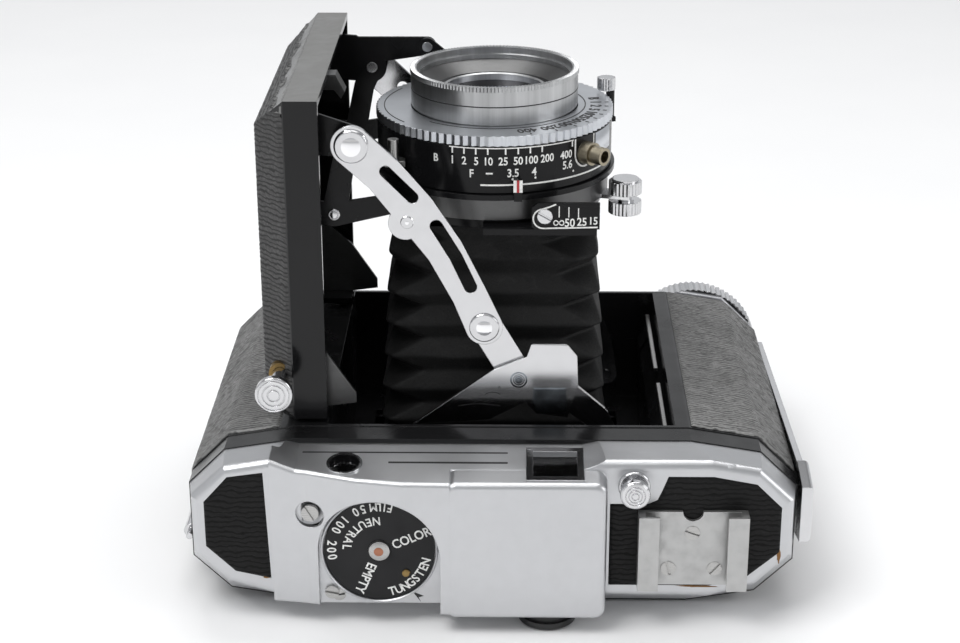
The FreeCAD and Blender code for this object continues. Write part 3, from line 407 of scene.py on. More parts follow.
def welded(mesh, distance=0.002, angle=32):
    """Merges points that meet, and shades edges sharper than angle as edges."""
    shape = bmesh.new()
    shape.from_mesh(mesh)
    bmesh.ops.remove_doubles(shape, verts=shape.verts, dist=distance * MM)
    bmesh.ops.recalc_face_normals(shape, faces=shape.faces)
    for edge in shape.edges:
        edge.smooth = len(edge.link_faces) == 2 and edge.calc_face_angle(0) < math.radians(angle)
    shape.to_mesh(mesh)
    shape.free()
    mesh.update()
    return mesh


def rounded_path(corners, radius, step):
    """Points along a polyline whose corners are rounded, about step apart."""
    corners = [Vector(c) for c in corners]
    path = [corners[0]]
    for before, corner, after in zip(corners, corners[1:], corners[2:]):
        into, out = (before - corner).normalized(), (after - corner).normalized()
        cut = min(radius, (before - corner).length * 0.45, (after - corner).length * 0.45)
        start, end = corner + into * cut, corner + out * cut
        for share in (0, 0.25, 0.5, 0.75, 1):
            path.append(start * (1 - share) ** 2 + corner * 2 * share * (1 - share) + end * share ** 2)
    path.append(corners[-1])
    dense = [path[0]]
    for a, b in zip(path, path[1:]):
        count = max(1, round((b - a).length / step))
        dense += [a.lerp(b, (i + 1) / count) for i in range(count)]
    return dense


def wrinkle(point, across, period, depth):
    """Height of straight leather grain at a point in millimetres. Creases run across one axis."""
    spot = Vector(point)
    warp = 1.3 * noise.noise(spot * 0.21) + 0.55 * noise.noise(spot * 0.7)
    share = (spot[across] / period + warp) % 1.0
    crest = 1 - (1 - abs(2 * share - 1)) ** 3
    strength = min(max(0.55 + 1.3 * noise.noise(spot * 0.5 + Vector((9, 4, 2))), 0.15), 1.0)
    return depth * ((crest - 0.8) * strength + 0.2 * noise.noise(spot * 1.9))


def skin(name, path, width, thick, depth, material, body, step=(0.45, 0.22)):
    """A leather skin along a path of (x, z), from y = width[0] to width[1], its grain in the mesh."""
    dense = rounded_path([(x, 0, z) for x, z in path], 1.6, step[0])
    rows = []
    count = round((width[1] - width[0]) / step[1])
    for index, spot in enumerate(dense):
        ahead = dense[min(index + 1, len(dense) - 1)] - dense[max(index - 1, 0)]
        out = Vector((-ahead.z, 0, ahead.x)).normalized()
        end = min(index, len(dense) - 1 - index) * step[0]
        for j in range(count + 1):
            y = width[0] + (width[1] - width[0]) * j / count
            roll = min(min(end, min(j, count - j) * step[1]) / 0.5, 1.0)
            height = wrinkle((spot.x, y, spot.z), 1, 0.9, depth) * roll - thick * (1 - roll) ** 2
            rows.append(Vector((spot.x, y, spot.z)) + out * height)
    mesh = mesh_of(name, rows, grid_faces(len(dense), count + 1))
    return piece(name, mesh, material, body)


def glyphs(string):
    """Flat triangles of a string, its centre at 0, with capitals 1 unit high."""
    curve = bpy.data.curves.new("glyphs", "FONT")
    curve.body = string
    curve.align_x = "CENTER"
    curve.resolution_u = 3
    curve.offset = 0.018
    letters = bpy.data.objects.new("glyphs", curve)
    mesh = bpy.data.meshes.new_from_object(letters)
    points = [(v.co.x / FONT_CAP, v.co.y / FONT_CAP - 0.5) for v in mesh.vertices]
    faces = [tuple(p.vertices) for p in mesh.polygons]
    bpy.data.objects.remove(letters)
    bpy.data.curves.remove(curve)
    bpy.data.meshes.remove(mesh)
    return points, faces


def marking(name, strokes, where, material, body, lift=0.03):
    """Print or filled engraving. strokes are ("text", string, u, v, height, turn) and
    ("line", [(u, v), ...], width). where(u, v, w) gives the place of a point, w off the surface."""
    points, faces = [], []
    for stroke in strokes:
        flat, polygons = [], []
        if stroke[0] == "text":
            _, string, u, v, height, turn = stroke
            shape, polygons = glyphs(string)
            c, s = math.cos(math.radians(turn)), math.sin(math.radians(turn))
            for a, b in shape:
                a, b = a * height * LETTER_WIDTH, b * height
                flat.append((u + a * c - b * s, v + a * s + b * c))
        else:
            _, line, width = stroke
            for index, spot in enumerate(line):
                a = Vector(line[max(index - 1, 0)])
                b = Vector(line[min(index + 1, len(line) - 1)])
                side = (b - a).normalized().orthogonal() * width / 2
                flat += [tuple(Vector(spot) + side), tuple(Vector(spot) - side)]
            polygons = [(2 * i, 2 * i + 1, 2 * i + 3, 2 * i + 2) for i in range(len(line) - 1)]
        first = len(points)
        for level in (SINK, lift):
            points += [where(u, v, level) for u, v in flat]
        count = len(flat)
        edges = {}
        for polygon in polygons:
            faces.append(tuple(first + count + i for i in polygon))
            for a, b in zip(polygon, polygon[1:] + polygon[:1]):
                edges[(a, b)] = edges.get((a, b), 0) + 1
        for a, b in edges:
            if (b, a) not in edges:
                faces.append((first + a, first + b, first + count + b, first + count + a))
    return piece(name, mesh_of(name, points, faces, False), material, body)


def arc(radius, start, end, steps=24, centre=(0, 0)):
    """Points (u, v) along an arc, its angles in degrees."""
    angles = [math.radians(start + (end - start) * i / steps) for i in range(steps + 1)]
    return [(centre[0] + radius * math.cos(a), centre[1] + radius * math.sin(a)) for a in angles]


def dashes(u0, u1, v, width):
    """A straight line in steps fine enough to bend round the lens."""
    steps = 60
    return ("line", [(u0 + (u1 - u0) * i / steps, v) for i in range(steps + 1)], width)


# ---------------------------------------------------------------- leather

def body_skins():
    """Leather on the two front panels of the body."""
    right = [(60.9, 26.5), (53.2, 34.1), (39.7, 36.4)]
    left = [(-60.9, 12.1), (-60.9, 26.5), (-53.2, 34.1), (-42.6, 35.8)]
    made = skin("leather_left", left, BODY_SKIN, 0.4, 0.2, BODY_LEATHER_PAINTED_SHEEN, "camera_body")
    skin("leather_right", right[::-1], BODY_SKIN, 0.4, 0.2, BODY_LEATHER_PAINTED_SHEEN, "camera_body")
    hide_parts("body_leather")


def flat_skin(name, outline, face, out, thick, depth, material, body, axis="Y", step=0.33,
              replaces=()):
    """A flat leather panel inside an outline of (x, z) or (x, y), with its grain in the mesh."""
    border = []
    for a, b in zip(outline, outline[1:] + outline[:1]):
        count = max(1, round(math.dist(a, b) / step))
        border += [(a[0] + (b[0] - a[0]) * i / count, a[1] + (b[1] - a[1]) * i / count)
                   for i in range(count)]

    def reach(p):
        """Distance to the border, below 0 outside."""
        inside, best = False, 1e9
        for (x0, y0), (x1, y1) in zip(outline, outline[1:] + outline[:1]):
            dx, dy = x1 - x0, y1 - y0
            share = max(0, min(1, ((p[0] - x0) * dx + (p[1] - y0) * dy) / (dx * dx + dy * dy)))
            best = min(best, math.hypot(p[0] - x0 - dx * share, p[1] - y0 - dy * share))
            if (y0 > p[1]) != (y1 > p[1]) and p[0] < x0 + (p[1] - y0) * dx / dy:
                inside = not inside
        return best if inside else -best

    low = [min(p[i] for p in outline) for i in (0, 1)]
    high = [max(p[i] for p in outline) for i in (0, 1)]
    spots = [Vector(p) for p in border]
    a = low[0] + step
    while a < high[0]:
        b = low[1] + step
        while b < high[1]:
            if reach((a, b)) > step * 0.6:
                spots.append(Vector((a, b)))
            b += step
        a += step
    ring = [(i, (i + 1) % len(border)) for i in range(len(border))]
    found = delaunay_2d_cdt(spots, ring, [list(range(len(border)))], 1, 1e-6)

    def lifted(spot, level):
        return (spot.x, level, spot.y) if axis == "Y" else (spot.x, spot.y, level)

    across = 2 if axis == "Y" else 1
    points = []
    for spot in found[0]:
        share = min(max(0.0, reach(spot)) / 0.6, 1.0)
        grain = wrinkle(lifted(spot, face), across, 1.1, depth) * share
        rise = thick * (1 - (1 - share) ** 2) + grain
        points.append(lifted(spot, face + out * rise))
    mesh = mesh_of(name, points, found[2])
    return piece(name, mesh, material, body, replaces)


def cover_skins():
    """Leather insets at the two ends of the top cover, as outlines of (x, z)."""
    left = [(-44.4, 32.6), (-51.4, 31.6), (-56.2, 26.2), (-56.2, 16.5), (-50.6, 11.0), (-43.6, 9.4)]
    right = [(34.2, 32.2), (43.0, 32.2), (51.4, 30.6), (56.4, 25.6), (56.4, 15.9), (50.4, 10.6),
             (43.0, 8.4), (23.0, 8.4), (23.0, 26.3), (30.4, 26.3), (32.2, 27.2), (33.0, 29.0)]
    for name, outline in (("cover_leather_left", left), ("cover_leather_right", right)):
        made = flat_skin(name, outline, COVER_Y, -1, 0.3, 0.12, COVER_LEATHER, "camera_body")
    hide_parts("top_cover_leather")


def bed_height(y, z):
    """How far the bed's leathered face falls back at its chamfers."""
    side = (abs(y) - 29.8) * 6.1 / 6.4
    top = (z - 96.2) * 6.1 / 6.2
    bottom = (40.8 - z) * 6.1 / 3.9
    return max(0.0, side, top, bottom)


def bed_skin():
    """Leather over the bed's face and chamfers, torn along the top chamfer."""
    rows, columns = 270, 150
    low, high = BED_SKIN_Z
    points, bare = [], []
    for i in range(rows + 1):
        z = low + (high - low) * i / rows
        for j in range(columns + 1):
            y = -BED_SKIN_Y + 2 * BED_SKIN_Y * j / columns
            fall = bed_height(y, z)
            roll = min(max(min(z - low, high - z, BED_SKIN_Y - abs(y)), 0) / 0.5, 1.0)
            rise = 0.36 * (1 - (1 - roll) ** 2) + wrinkle((0, y, z), 2, 0.95, 0.16) * roll
            rag = (1.3 * noise.noise(Vector((3.1, y * 0.22, 0.4)))
                   + 0.7 * noise.noise(Vector((7.7, y * 0.9, z * 0.6))))
            past = z - (TEAR_Z + rag)
            if past > 0:
                rise = 0.02 + 0.03 * noise.noise(Vector((y, z, 5.0)))
            elif past > -0.9:
                rise += 0.4 * (1 + past / 0.9) * (0.6 + noise.noise(Vector((2.0, y * 0.8, z))))
            bare.append(past > 0)
            points.append((BED_FACE + fall - max(rise, 0.0) * 0.9, y, z))
    faces = grid_faces(rows + 1, columns + 1)
    made = piece("bed_skin", mesh_of("bed_skin", points, faces), BED_LEATHER, "bed",
                 ["bed_leather"])
    made.data.materials.append(BARE_GREY_AND_SHEEN)
    for polygon in made.data.polygons:
        polygon.material_index = int(bare[polygon.vertices[0]])


# ---------------------------------------------------------------- bellows

def bellows():
    """Pleated leather from the film gate to the lens standard. The corners fold the other way."""
    folds, low, high = 9, 9.8, 72.4
    rings = []
    for k in range(2 * folds + 1):
        share = k / (2 * folds)
        crest = k % 2 == 0
        end = max(0.0, share - 0.8) / 0.2
        out = 24.4 + (21.0 - 24.4) * share - (0.0 if crest else 1.5 - 1.1 * end)
        corner = (1.6 if crest else 7.0) + 5.5 * end
        inner = out - corner
        ring = [(out, -inner), (out, inner), (inner, out), (-inner, out),
                (-out, inner), (-out, -inner), (-inner, -out), (inner, -out)]
        z = low + (high - low) * share
        for i, (a, b) in enumerate(zip(ring, ring[1:] + ring[:1])):
            steps = 10 if i % 2 == 0 else 2
            for j in range(steps):
                x, y = a[0] + (b[0] - a[0]) * j / steps, a[1] + (b[1] - a[1]) * j / steps
                slack = 0.0
                if 0 < k < 2 * folds:
                    slack = 0.5 * noise.noise(Vector((x * 0.09, y * 0.09, k * 0.9)))
                rings.append((x + 0.2 * noise.noise(Vector((x * 0.2, y * 0.2, k * 1.7))),
                              y + 0.2 * noise.noise(Vector((y * 0.2, x * 0.2, k * 2.3))), z + slack))
    count = len(rings) // (2 * folds + 1)
    mesh = mesh_of("bellows_cloth", rings, grid_faces(2 * folds + 1, count, True))
    made = bpy.data.objects.new("pleated_bellows", mesh)
    bpy.context.scene.collection.objects.link(made)
    crease = mesh.attributes.new("crease_edge", "FLOAT", "EDGE")
    for edge in mesh.edges:
        a, b = edge.vertices
        crease.data[edge.index].value = 0.8 if a // count == b // count else 0.35
    smooth = made.modifiers.new("smooth", "SUBSURF")
    smooth.levels = smooth.render_levels = 3
    shown = made.evaluated_get(bpy.context.evaluated_depsgraph_get())
    final = bpy.data.meshes.new_from_object(shown)
    made.modifiers.clear()
    made.data = final
    final.materials.clear()
    final.materials.append(BELLOWS)
    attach(made, "camera_body")
    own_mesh(made)
    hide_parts("bellows")


# ---------------------------------------------------------------- top cover: dial, lines, buttons

def cover_place(y):
    """(u, v, w) on a face that looks towards -Y, at that y."""
    return lambda u, v, w: (u, y - w, v)


def dial_arc(string, radius, start, end, height):
    """Letters along an arc about the dial's centre, their feet outwards, angles in degrees."""
    strokes = []
    for index, letter in enumerate(string):
        angle = start + (end - start) * index / max(1, len(string) - 1)
        u = DIAL[0] + radius * math.cos(math.radians(angle))
        v = DIAL[1] + radius * math.sin(math.radians(angle))
        strokes.append(("text", letter, u, v, height, angle + 90))
    return strokes


def along_spoke(string, angle, middle, height):
    """A word read outwards along a radius of the dial."""
    c, s = math.cos(math.radians(angle)), math.sin(math.radians(angle))
    return [("text", string, DIAL[0] + middle * c, DIAL[1] + middle * s, height, angle)]


def dial_button(name, profile, steps, offset, material, body):
    """A turned piece on the dial, its axis along Y, offset from the dial's centre in x and z."""
    centre = (DIAL[0] + offset[0], 0, DIAL[1] + offset[1])
    piece(name, turned_mesh(name, profile, steps, "Y", centre), material, body)


def memo_dial():
    """The film dial's words and numbers, its rivet, dot and pin, and the rim round it."""
    words = (dial_arc("FILM", WORD_R + 0.05, 76, 96, 1.8)
             + dial_arc("50", WORD_R + 0.05, 108.6, 118, 1.9)
             + dial_arc("100", WORD_R, 134.3, 152.6, 1.9) + dial_arc("200", WORD_R, 170.8, 189.6, 1.9)
             + dial_arc("NEUTRAL", 6.3, 94, 174, 1.8)
             + dial_arc("TUNGSTEN", WORD_R, -75.5, -15.5, 1.9)
             + along_spoke("COLOR", 24, 6.85, 2.0) + along_spoke("EMPTY", -113.5, 6.8, 2.0))
    marking("dial_words", words, cover_place(DIAL_Y), WHITE, "memo_dial", 0.02)
    rivet = [(0, -53.78), (1.5, -53.74), (2.05, -53.5), (2.15, -53.1), (2.15, -52.9), (0, -52.9)]
    dial_button("dial_rivet", rivet, 48, (0, 0), STEEL, "memo_dial")
    dot = [(0, -53.9), (0.75, -53.86), (0.95, -53.76), (0.95, -53.6), (0, -53.6)]
    dial_button("dial_dot", dot, 32, (-0.1, 0), COPPER, "memo_dial")
    pin = [(0, -53.5), (0.55, -53.46), (0.8, -53.3), (0.8, -52.9), (0, -52.9)]
    dial_button("dial_pin", pin, 32, (5.2, -5.0), BRASS, "memo_dial")
    rim = [(11.02, -51.95), (11.05, -53.2), (11.25, -53.42), (11.5, -53.3), (11.6, -51.95)]
    dial_button("dial_rim", rim, 128, (0, 0), SATIN, "camera_body")


def strip_place(u, v, w):
    """(x, y) on the front strip of the top cover, w in front of it."""
    return (u, v, 34.4 + (v + 46.0) * 1.8 / 11.0 + 0.03 + w)


def cover_lines():
    """Two engraved lines on the cover's front strip, and the arrow that the dial is read against."""
    lines = [dashes(-37.1, 3.1, -46.3, 0.42), dashes(-20.1, 3.1, -49.6, 0.55)]
    marking("strip_lines", lines, strip_place, BLACK, "camera_body", 0.03)
    outline = [(-15.75, 6.65), (-14.0, 4.2), (-14.5, 5.3), (-13.45, 5.6)]
    points = [(x, COVER_Y - rise, z) for rise in (0.04, -0.05) for x, z in outline]
    faces = [(0, 1, 2), (0, 2, 3), (4, 6, 5), (4, 7, 6)] + BOX_SIDES
    arrow = mesh_of("dial_arrow", points, faces, False)
    piece("dial_arrow", arrow, BLACK, "camera_body")


def ringed_cap(name, centre, y, radii, material, body, dome=0.35, rim=None):
    """A domed face with turned rings, looking towards -Y, its rim at y and its middle in front of it."""
    rim = rim or radii[-1] + 0.5
    shape = [(rim * i / 8, 0.0) for i in range(9)]
    for radius in radii:
        shape = [p for p in shape if abs(p[0] - radius) > 0.15]
        shape += [(radius - 0.12, 0.0), (radius - 0.05, 0.12),
                  (radius + 0.05, 0.12), (radius + 0.12, 0.0)]
    profile = [(r, y - dome * (1 - (r / rim) ** 2) + sink) for r, sink in sorted(shape)]
    profile += [(rim + 0.08, y + 0.1), (rim + 0.08, y + 0.3), (0, y + 0.3)]
    mesh = turned_mesh(name, profile, 64, "Y", (centre[0], 0, centre[1]))
    piece(name, mesh, material, body)


# ---------------------------------------------------------------- lens and shutter

def case_place(u, v, w):
    """(arc length from the near side, z) on the shutter case."""
    angle = u / CASE_R - math.pi / 2
    return ((CASE_R + w) * math.cos(angle), (CASE_R + w) * math.sin(angle), v)


def around(degrees):
    """Arc length on the shutter case for an angle about the lens axis."""
    return CASE_R * math.radians(degrees + 90)


def shutter_marks():
    """Speeds, apertures and their lines on the shutter case, at angles about the lens axis."""
    strokes = []
    ticks = (-109.4, -103.7, -98.1, -92.5, -84.2, -78.3, -72.5, -66.6, -49.8)
    for angle in ticks:
        strokes.append(("line", [(around(angle), 88.35), (around(angle), 89.6)], 0.3))
    names = ("1", "2", "5", "10", "25", "50", "100", "200", "400")
    middles = (-109.4, -103.7, -97.9, -92.4, -85.3, -78.3, -72.1, -63.9, -53.4)
    for name, angle in zip(names, middles):
        strokes.append(("text", name, around(angle), CASE_DIGITS, 1.65, 0))
    strokes.append(("text", "B", around(-118.0), CASE_DIGITS, 1.65, 0))
    for name, angle, z in (("F", -100.2, 84.5), ("3.5", -80.7, 84.6), ("4", -70.5, 84.6),
                           ("5.6", -52.6, 84.9)):
        strokes.append(("text", name, around(angle), z, 1.7, 0))
    strokes.append(dashes(around(-93.4), around(-90.2), 84.5, 0.32))
    for angle in (-80.9, -69.9, -49.0):
        strokes.append(("line", arc(0.11, 0, 360, 12, (around(angle), 83.25)), 0.24))
    strokes.append(dashes(around(-96), around(-14), 82.1, 0.34))
    strokes.append(dashes(around(-111), around(-49), 89.62, 0.22))
    middle = around(-41)
    loop = [(middle - 2.9, 89.65)] + arc(2.9, 180, 360, 20, (middle, 86.5)) + [(middle + 2.9, 89.65)]
    strokes.append(("line", loop, 0.36))
    marking("shutter_scale", strokes, case_place, WHITE, "shutter")


def ring_place(u, v, w):
    """(arc length, distance from the axis) on the speed ring's face, read from the lens."""
    angle = -math.pi / 2 - u / RING_R
    return (v * math.cos(angle), v * math.sin(angle), RING_TOP + w)


def round_ring(degrees):
    """Arc length on the speed ring for an angle about the lens axis."""
    return -RING_R * math.radians(degrees + 90)


def ring_marks():
    """Speeds, ticks and two engraved circles on the speed ring."""
    strokes = []
    for name, angle in (("400", -71.4), ("200", -57.5), ("100", -45.4), ("50", -36.0), ("25", -28.2),
                        ("10", -20.4), ("5", -12.9), ("2", -5.2), ("1", 2.4), ("B", 10.4)):
        u = round_ring(angle)
        strokes.append(("text", name, u, 21.0, 2.3, 0))
        if name != "B":
            strokes.append(("line", [(u, 22.7), (u, 23.5)], 0.22))
    strokes.append(("line", [(round_ring(a), 18.7) for a in range(-133, 31, 4)], 0.22))
    strokes.append(("line", [(round_ring(a), 22.7) for a in range(150, 222, 4)], 0.2))
    marking("speed_numbers", strokes, ring_place, BLACK, "speed", 0.06)


def rim_serrations():
    """The fine teeth round the top of the filter rim."""
    ridges, faces = [], []
    count = 150
    for index in range(count):
        angle = math.tau * index / count
        for radius, low, high in ((16.3, 99.79, 99.99), (17.12, 99.79, 99.95), (17.12, 98.9, 98.95)):
            for side in (-0.42, 0.0, 0.42):
                turn = angle + side * math.tau / count
                out = radius + (0.2 if side == 0 and radius > 17 else 0.0)
                ridges.append((out * math.cos(turn), out * math.sin(turn), high if side == 0 else low))
        first = index * 9
        faces += [(first + i, first + i + 3, first + i + 4, first + i + 1) for i in (0, 1, 3, 4)]
        faces += [(first, first + 1, first + 2), (first + 6, first + 8, first + 7),
                  (first, first + 2, first + 5, first + 3), (first + 3, first + 5, first + 8, first + 6)]
    mesh = mesh_of("rim_serrations", ridges, faces, False)
    piece("rim_serrations", mesh, TURNED, "shutter")


def lens_rings():
    """Turned rings on and in the lens barrel, as profiles of (radius, z)."""
    groove = [(17.1, 95.7), (17.2, 95.76), (17.2, 95.96), (17.1, 96.02)]
    inner = [(15.98, 97.4), (15.98, 98.2), (15.55, 98.35), (15.55, 97.42)]
    bezel = [(10.15, 94.25), (10.15, 95.5), (10.5, 95.75), (10.95, 95.5), (11.2, 94.7)]
    black = [(11.15, 94.62), (11.2, 94.95), (12.1, 95.4), (12.3, 95.42)]
    for name, profile, steps, material, slot in (
            ("rim_line", groove, 128, BLACK, "black_enamel"),
            ("rim_step", inner, 96, TURNED, "polished_chrome"),
            ("glass_bezel", bezel, 96, TURNED, "polished_chrome"),
            ("glass_surround", black, 96, ENAMEL, "black_enamel")):
        piece(name, turned_mesh(name, profile, steps), material, "shutter")


def lens_details():
    """The rim's teeth and rings, the bright plate on the case, and the aperture's index."""
    rim_serrations()
    lens_rings()
    plate = []
    steps = 24
    for i in range(steps + 1):
        angle = math.radians(-33.0 + 18 * i / steps)
        for radius, z in ((24.1, 84.9), (24.32, 85.0), (24.32, 89.5), (24.1, 89.6)):
            plate.append((radius * math.cos(angle), radius * math.sin(angle), z))
    mesh = mesh_of("case_plate", plate, grid_faces(steps + 1, 4))
    piece("case_plate", mesh, SPUN, "shutter")
    for x0, x1, y, name, fill in ((4.0, 5.8, -25.46, "index_white", WHITE),
                                  (4.65, 5.15, -25.5, "index_red", RED_INK)):
        corners = [(x0, y, 81.0), (x1, y, 81.0), (x1, y, 83.5), (x0, y, 83.5)]
        back = [(x, -25.35, z) for x, _, z in corners]
        box = [(0, 1, 2, 3), (4, 7, 6, 5)] + BOX_SIDES
        mesh = mesh_of(name, corners + back, box, False)
        piece(name, mesh, fill, "aperture")


def scale_place(u, v, w):
    """(x, z) on the face of the focus scale."""
    return (u, SCALE_Y - w, v)


def focus_marks():
    """Distances, the sign for infinity, three ticks and the border of the focus scale."""
    strokes = [("text", "50", 15.1, 75.25, 1.75, 0), ("text", "25", 17.5, 75.45, 1.7, 0),
               ("text", "15", 19.7, 75.65, 1.6, 0)]
    loop = []
    for i in range(33):
        a = math.tau * i / 32
        reach = 1.0 / (1 + math.sin(a) ** 2)
        loop.append((12.95 + reach * math.cos(a), 75.15 + 1.35 * reach * math.sin(a) * math.cos(a)))
    strokes.append(("line", loop, 0.22))
    for u, top in ((13.0, 78.6), (14.9, 78.4), (16.8, 78.2)):
        strokes.append(("line", [(u, 76.3), (u, top)], 0.2))
    outline = ([(20.6, 74.25), (10.0, 74.0)] + arc(2.0, 270, 95, 14, (9.9, 76.0))
               + [(11.0, 78.4), (12.4, 79.0)])
    strokes.append(("line", outline, 0.3))
    marking("focus_scale_marks", strokes, scale_place, WHITE, "standard")


# ---------------------------------------------------------------- struts, screws and studs

def slotted_screw(name, centre, y, radius, turn, material, body, height=0.35):
    """A cheese-head screw seen along +Y: a domed disc, and its slot at an angle drawn as a black line,
    painted shade for the slot's hollow.
    """
    ringed_cap(name, centre, y, (), material, body, height, radius)
    # The slot is no cut: a black line on the dome, painted shade where its hollow would be.
    c, s = math.cos(math.radians(turn)), math.sin(math.radians(turn))
    reach = radius * 0.92
    line = [("line", [(centre[0] - reach * c, centre[1] - reach * s),
                      (centre[0] + reach * c, centre[1] + reach * s)], radius * 0.24)]
    marking(name + "_slot", line, cover_place(y - height), BLACK, body, 0.03)


def strut_caps():
    """Domed caps on the studs and rivets of the near struts."""
    ringed_cap("stud_dome", (-27.2, 92.2), -31.7, (2.95,), MIRROR, "bed", 0.6, 3.3)
    ringed_cap("elbow_dome", (-1.7, 54.8), -31.6, (1.9,), MIRROR, "arms", 0.55, 2.35)
    ringed_cap("arm_rivet", (-16.7, 76.8), -31.35, (0.5, 0.85), MIRROR, "arms", 0.4, 1.25)
    ringed_cap("lever_rivet", (5.2, 43.0), -30.3, (0.45, 0.9, 1.3), DARK_REFLECTION_CHROME, "levers", 0.13, 1.75)
    ringed_cap("bracket_rivet", (-31.2, 77.3), -28.5, (0.8,), POLISHED, "bed", 0.25, 1.15)


def lever_details():
    """The near lock lever's bevelled facet, engraved lines and ridged thumb rest."""
    facet = [(8.2, 41.3), (14.7, 41.3), (15.0, 36.2), (13.6, 35.6), (8.9, 35.6), (7.9, 38.2)]
    middle = (11.4, 38.4)
    points = [(x, LEVER_Y + 0.05, z) for x, z in facet] + [(x, LEVER_Y - 0.04, z) for x, z in facet]
    points += [(middle[0] + (x - middle[0]) * 0.9, LEVER_Y - 0.16, middle[1] + (z - middle[1]) * 0.9)
               for x, z in facet]
    faces = grid_faces(3, 6, True) + [tuple(range(12, 18)), tuple(range(5, -1, -1))]
    mesh = mesh_of("lever_facet", points, faces, False)
    # The facet's darker bluish chrome is painted reflection.
    piece("lever_facet", mesh, DARK_REFLECTION_CHROME, "levers")
    lines = []
    for level in range(4):
        z, start = 37.2 + level * 1.3, -7.0 + level * 2.7
        lines.append(("line", [(start + (1.5 - start) * i / 12, z + 0.5 * math.sin(math.pi * i / 12))
                               for i in range(13)], 0.14))
    marking("lever_lines", lines, cover_place(LEVER_Y), BLACK, "levers", 0.015)
    ridges, faces = [], []
    for index in range(20):
        x = 7.9 + index * 0.345
        for y in (-30.28, -29.62):
            ridges += [(x, y, 50.55), (x + 0.12, y, 50.85), (x + 0.22, y, 50.85),
                       (x + 0.34, y, 50.55)]
        first = index * 8
        faces += [(first + i, first + i + 1, first + i + 5, first + i + 4) for i in range(3)]
        faces += [(first, first + 3, first + 2, first + 1),
                  (first + 4, first + 5, first + 6, first + 7)]
    mesh = mesh_of("lever_ridges", ridges, faces, False)
    piece("lever_ridges", mesh, POLISHED, "levers")


def glue_stains():
    """Small rust-coloured rims of old glue at the edge of the cover's leather."""
    count = 24
    for name, x, z, length, height in (("stain_shoe", 40.6, 8.2, 7.5, 0.45),
                                       ("stain_corner", 56.3, 15.2, 0.7, 3.2),
                                       ("stain_left", -44.6, 9.6, 1.2, 0.5)):
        points = [(x, COVER_Y - 0.14, z)]
        for i in range(count):
            a = math.tau * i / count
            rag = 1 + 0.45 * noise.noise(Vector((3 * math.cos(a), 3 * math.sin(a), x)))
            points.append((x + length / 2 * rag * math.cos(a), COVER_Y - 0.02,
                           z + height / 2 * rag * math.sin(a)))
        faces = [(0, i, i % count + 1) for i in range(1, count + 1)]
        piece(name, mesh_of(name, points, faces), RUST, "camera_body")


def screw_seat():
    """The countersunk seat round the cover screw at the left."""
    seat = [(1.62, -51.5), (2.5, -51.86), (2.72, -51.98), (2.9, -51.86)]
    mesh = turned_mesh("screw_seat", seat, 64, "Y", (-35.4, 0, 24.2))
    piece("screw_seat", mesh, SATIN, "camera_body")


def film_rails():
    """Two bright strips inside the opening on the right."""
    for name, near, far in (("rail_far", 1.5, 33.0), ("rail_near", -35.5, -6.5)):
        section = [(34.6, 31.4), (34.6, 31.9), (34.75, 32.05), (35.45, 32.05), (35.6, 31.9),
                   (35.6, 31.4)]
        points = [(x, y, z) for y in (near, near + 0.15, far - 0.15, far) for x, z in section]
        faces = grid_faces(4, 6, True) + [(5, 4, 3, 2, 1, 0), (18, 19, 20, 21, 22, 23)]
        piece(name, mesh_of(name, points, faces, False), STEEL, "camera_body")


def back_skin():
    """Leather on the flat middle of the back door."""
    outline = [(-38.3, -35.7), (38.3, -35.7), (38.3, 35.7), (-38.3, 35.7)]
    flat_skin("back_skin", outline, 0.36, -1, 0.3, 0.05, BODY_LEATHER_PAINTED_SHEEN, "back", "Z", 0.5,
              ["back_leather"])


def cover_screws():
    """Slotted screws of the accessory shoe and of the dial's plate."""
    for name, centre, turn in (("shoe_screw_top", (39.1, 20.6), 85),
                               ("shoe_screw_left", (34.6, 12.8), 28),
                               ("shoe_screw_right", (43.7, 12.8), -22)):
        slotted_screw(name, centre, -52.32, 1.5, turn, STEEL, "camera_body", 0.12)
    slotted_screw("plate_screw", (-30.3, 5.9), -52.02, 1.3, 12, STEEL, "camera_body", 0.15)


# ---------------------------------------------------------------- all pieces

body_skins()
cover_skins()
bed_skin()
bellows()
memo_dial()
cover_lines()
shutter_marks()
ring_marks()
lens_details()
focus_marks()
strut_caps()
lever_details()
cover_screws()
film_rails()
screw_seat()
glue_stains()
back_skin()
ringed_cap("release_cap", (27.6, 30.3), -56.55, (0.7, 1.3, 1.9), POLISHED, "release_button",
           0.3, 2.6)


# ---------------------------------------------------------------- stage, light and camera

def stage():
    """A large sheet of pale paper just under the camera."""
    bpy.ops.mesh.primitive_plane_add(size=6, location=(0, 0, -0.0002))
    floor = bpy.context.object
    floor.name = "floor"
    shader = Shader("floor_paper", (0.86, 0.86, 0.86), 0.75)
    tone = shader.mix(shader.noise(0.02, 2.0), (0.86, 0.86, 0.86), (0.83, 0.83, 0.835))
    floor.data.materials.append(shader.finish(tone))


def area_light(name, place, target, size, power):
    """A rectangular lamp at a place, in metres, that faces a target."""
    data = bpy.data.lights.new(name, "AREA")
    data.shape = "RECTANGLE"
    data.size, data.size_y = size
    data.energy = power
    lamp = bpy.data.objects.new(name, data)
    bpy.context.scene.collection.objects.link(lamp)
    lamp.location = place
    lamp.rotation_euler = (Vector(target) - Vector(place)).to_track_quat("-Z", "Y").to_euler()


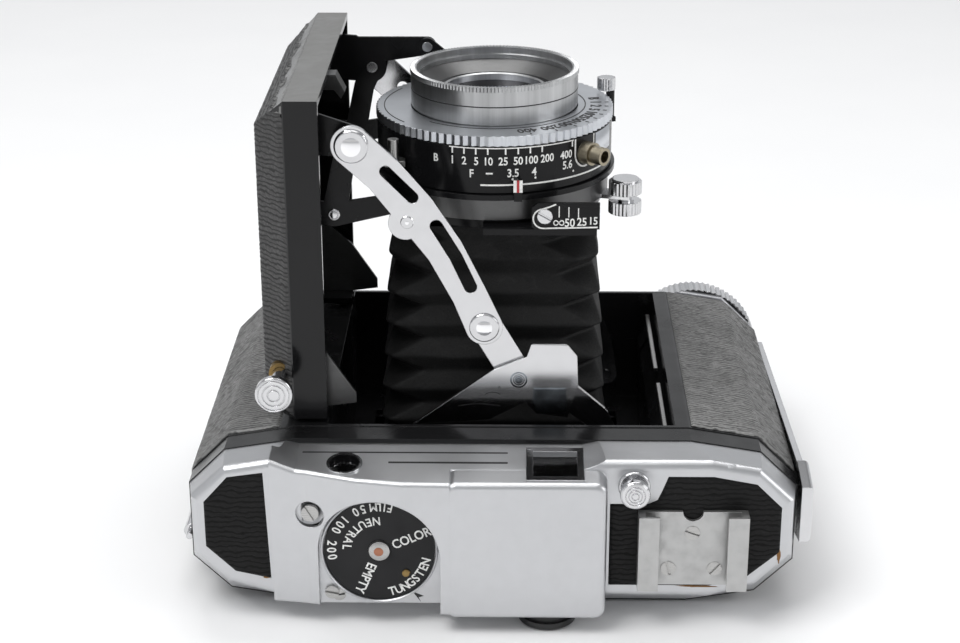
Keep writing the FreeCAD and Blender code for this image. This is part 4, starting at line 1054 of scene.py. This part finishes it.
def world():
    """A studio tent: white overhead and at the floor, greyer in a band above the horizon."""
    sky = bpy.data.worlds.new("studio")
    bpy.context.scene.world = sky
    sky.use_nodes = True
    tree = sky.node_tree
    background = tree.nodes["Background"]
    place = tree.nodes.new("ShaderNodeTexCoord")
    split = tree.nodes.new("ShaderNodeSeparateXYZ")
    ramp = tree.nodes.new("ShaderNodeValToRGB")
    tree.links.new(place.outputs["Generated"], split.inputs[0])
    tree.links.new(split.outputs["Z"], ramp.inputs[0])
    tree.links.new(ramp.outputs[0], background.inputs[0])
    stops = ramp.color_ramp.elements
    stops[0].position, stops[0].color = 0.0, SKY_BOTTOM
    stops[1].position, stops[1].color = 1.0, SKY_TOP
    for position, tone in SKY:
        stop = stops.new(position)
        stop.color = (tone * 0.98, tone, tone * 1.03, 1)
    background.inputs[1].default_value = WORLD_STRENGTH


def sun():
    """A wide soft fill from straight above, so the paper stays white to its far edge."""
    data = bpy.data.lights.new("fill", "SUN")
    data.energy = FILL_POWER
    data.angle = math.radians(FILL_ANGLE)
    lamp = bpy.data.objects.new("fill", data)
    bpy.context.scene.collection.objects.link(lamp)


def camera():
    """The viewing angle: almost from the top-cover side, looking 22 degrees down."""
    yaw, pitch, roll = (math.radians(angle) for angle in YAW_PITCH_ROLL)
    ahead = Vector((math.sin(yaw) * math.cos(pitch), math.cos(yaw) * math.cos(pitch),
                    -math.sin(pitch)))
    level = Vector((math.cos(yaw), -math.sin(yaw), 0))
    above = level.cross(ahead)
    right = level * math.cos(roll) + above * math.sin(roll)
    up = above * math.cos(roll) - level * math.sin(roll)
    data = bpy.data.cameras.new("camera")
    data.sensor_width = SENSOR
    data.sensor_fit = "HORIZONTAL"
    data.lens = FOCAL_LENGTH
    data.clip_start = 0.01
    data.clip_end = 20.0
    eye = bpy.data.objects.new("camera", data)
    bpy.context.scene.collection.objects.link(eye)
    turn = Matrix((right, up, -ahead)).transposed().to_4x4()
    eye.matrix_world = Matrix.Translation(Vector(EYE) * MM) @ turn
    bpy.context.scene.camera = eye


stage()
world()
sun()
camera()
area_light("key", (-0.35, -0.30, 0.75), (0, 0, 0.03), (0.5, 0.4), 4.2)
area_light("back", (0.05, 0.30, 0.95), (0, 0, 0.05), (0.7, 0.35), 3.2)
area_light("side", (0.7, -0.2, 0.35), (0, 0, 0.04), (0.3, 0.4), 1.2)
bpy.context.scene.view_settings.view_transform = "Standard"
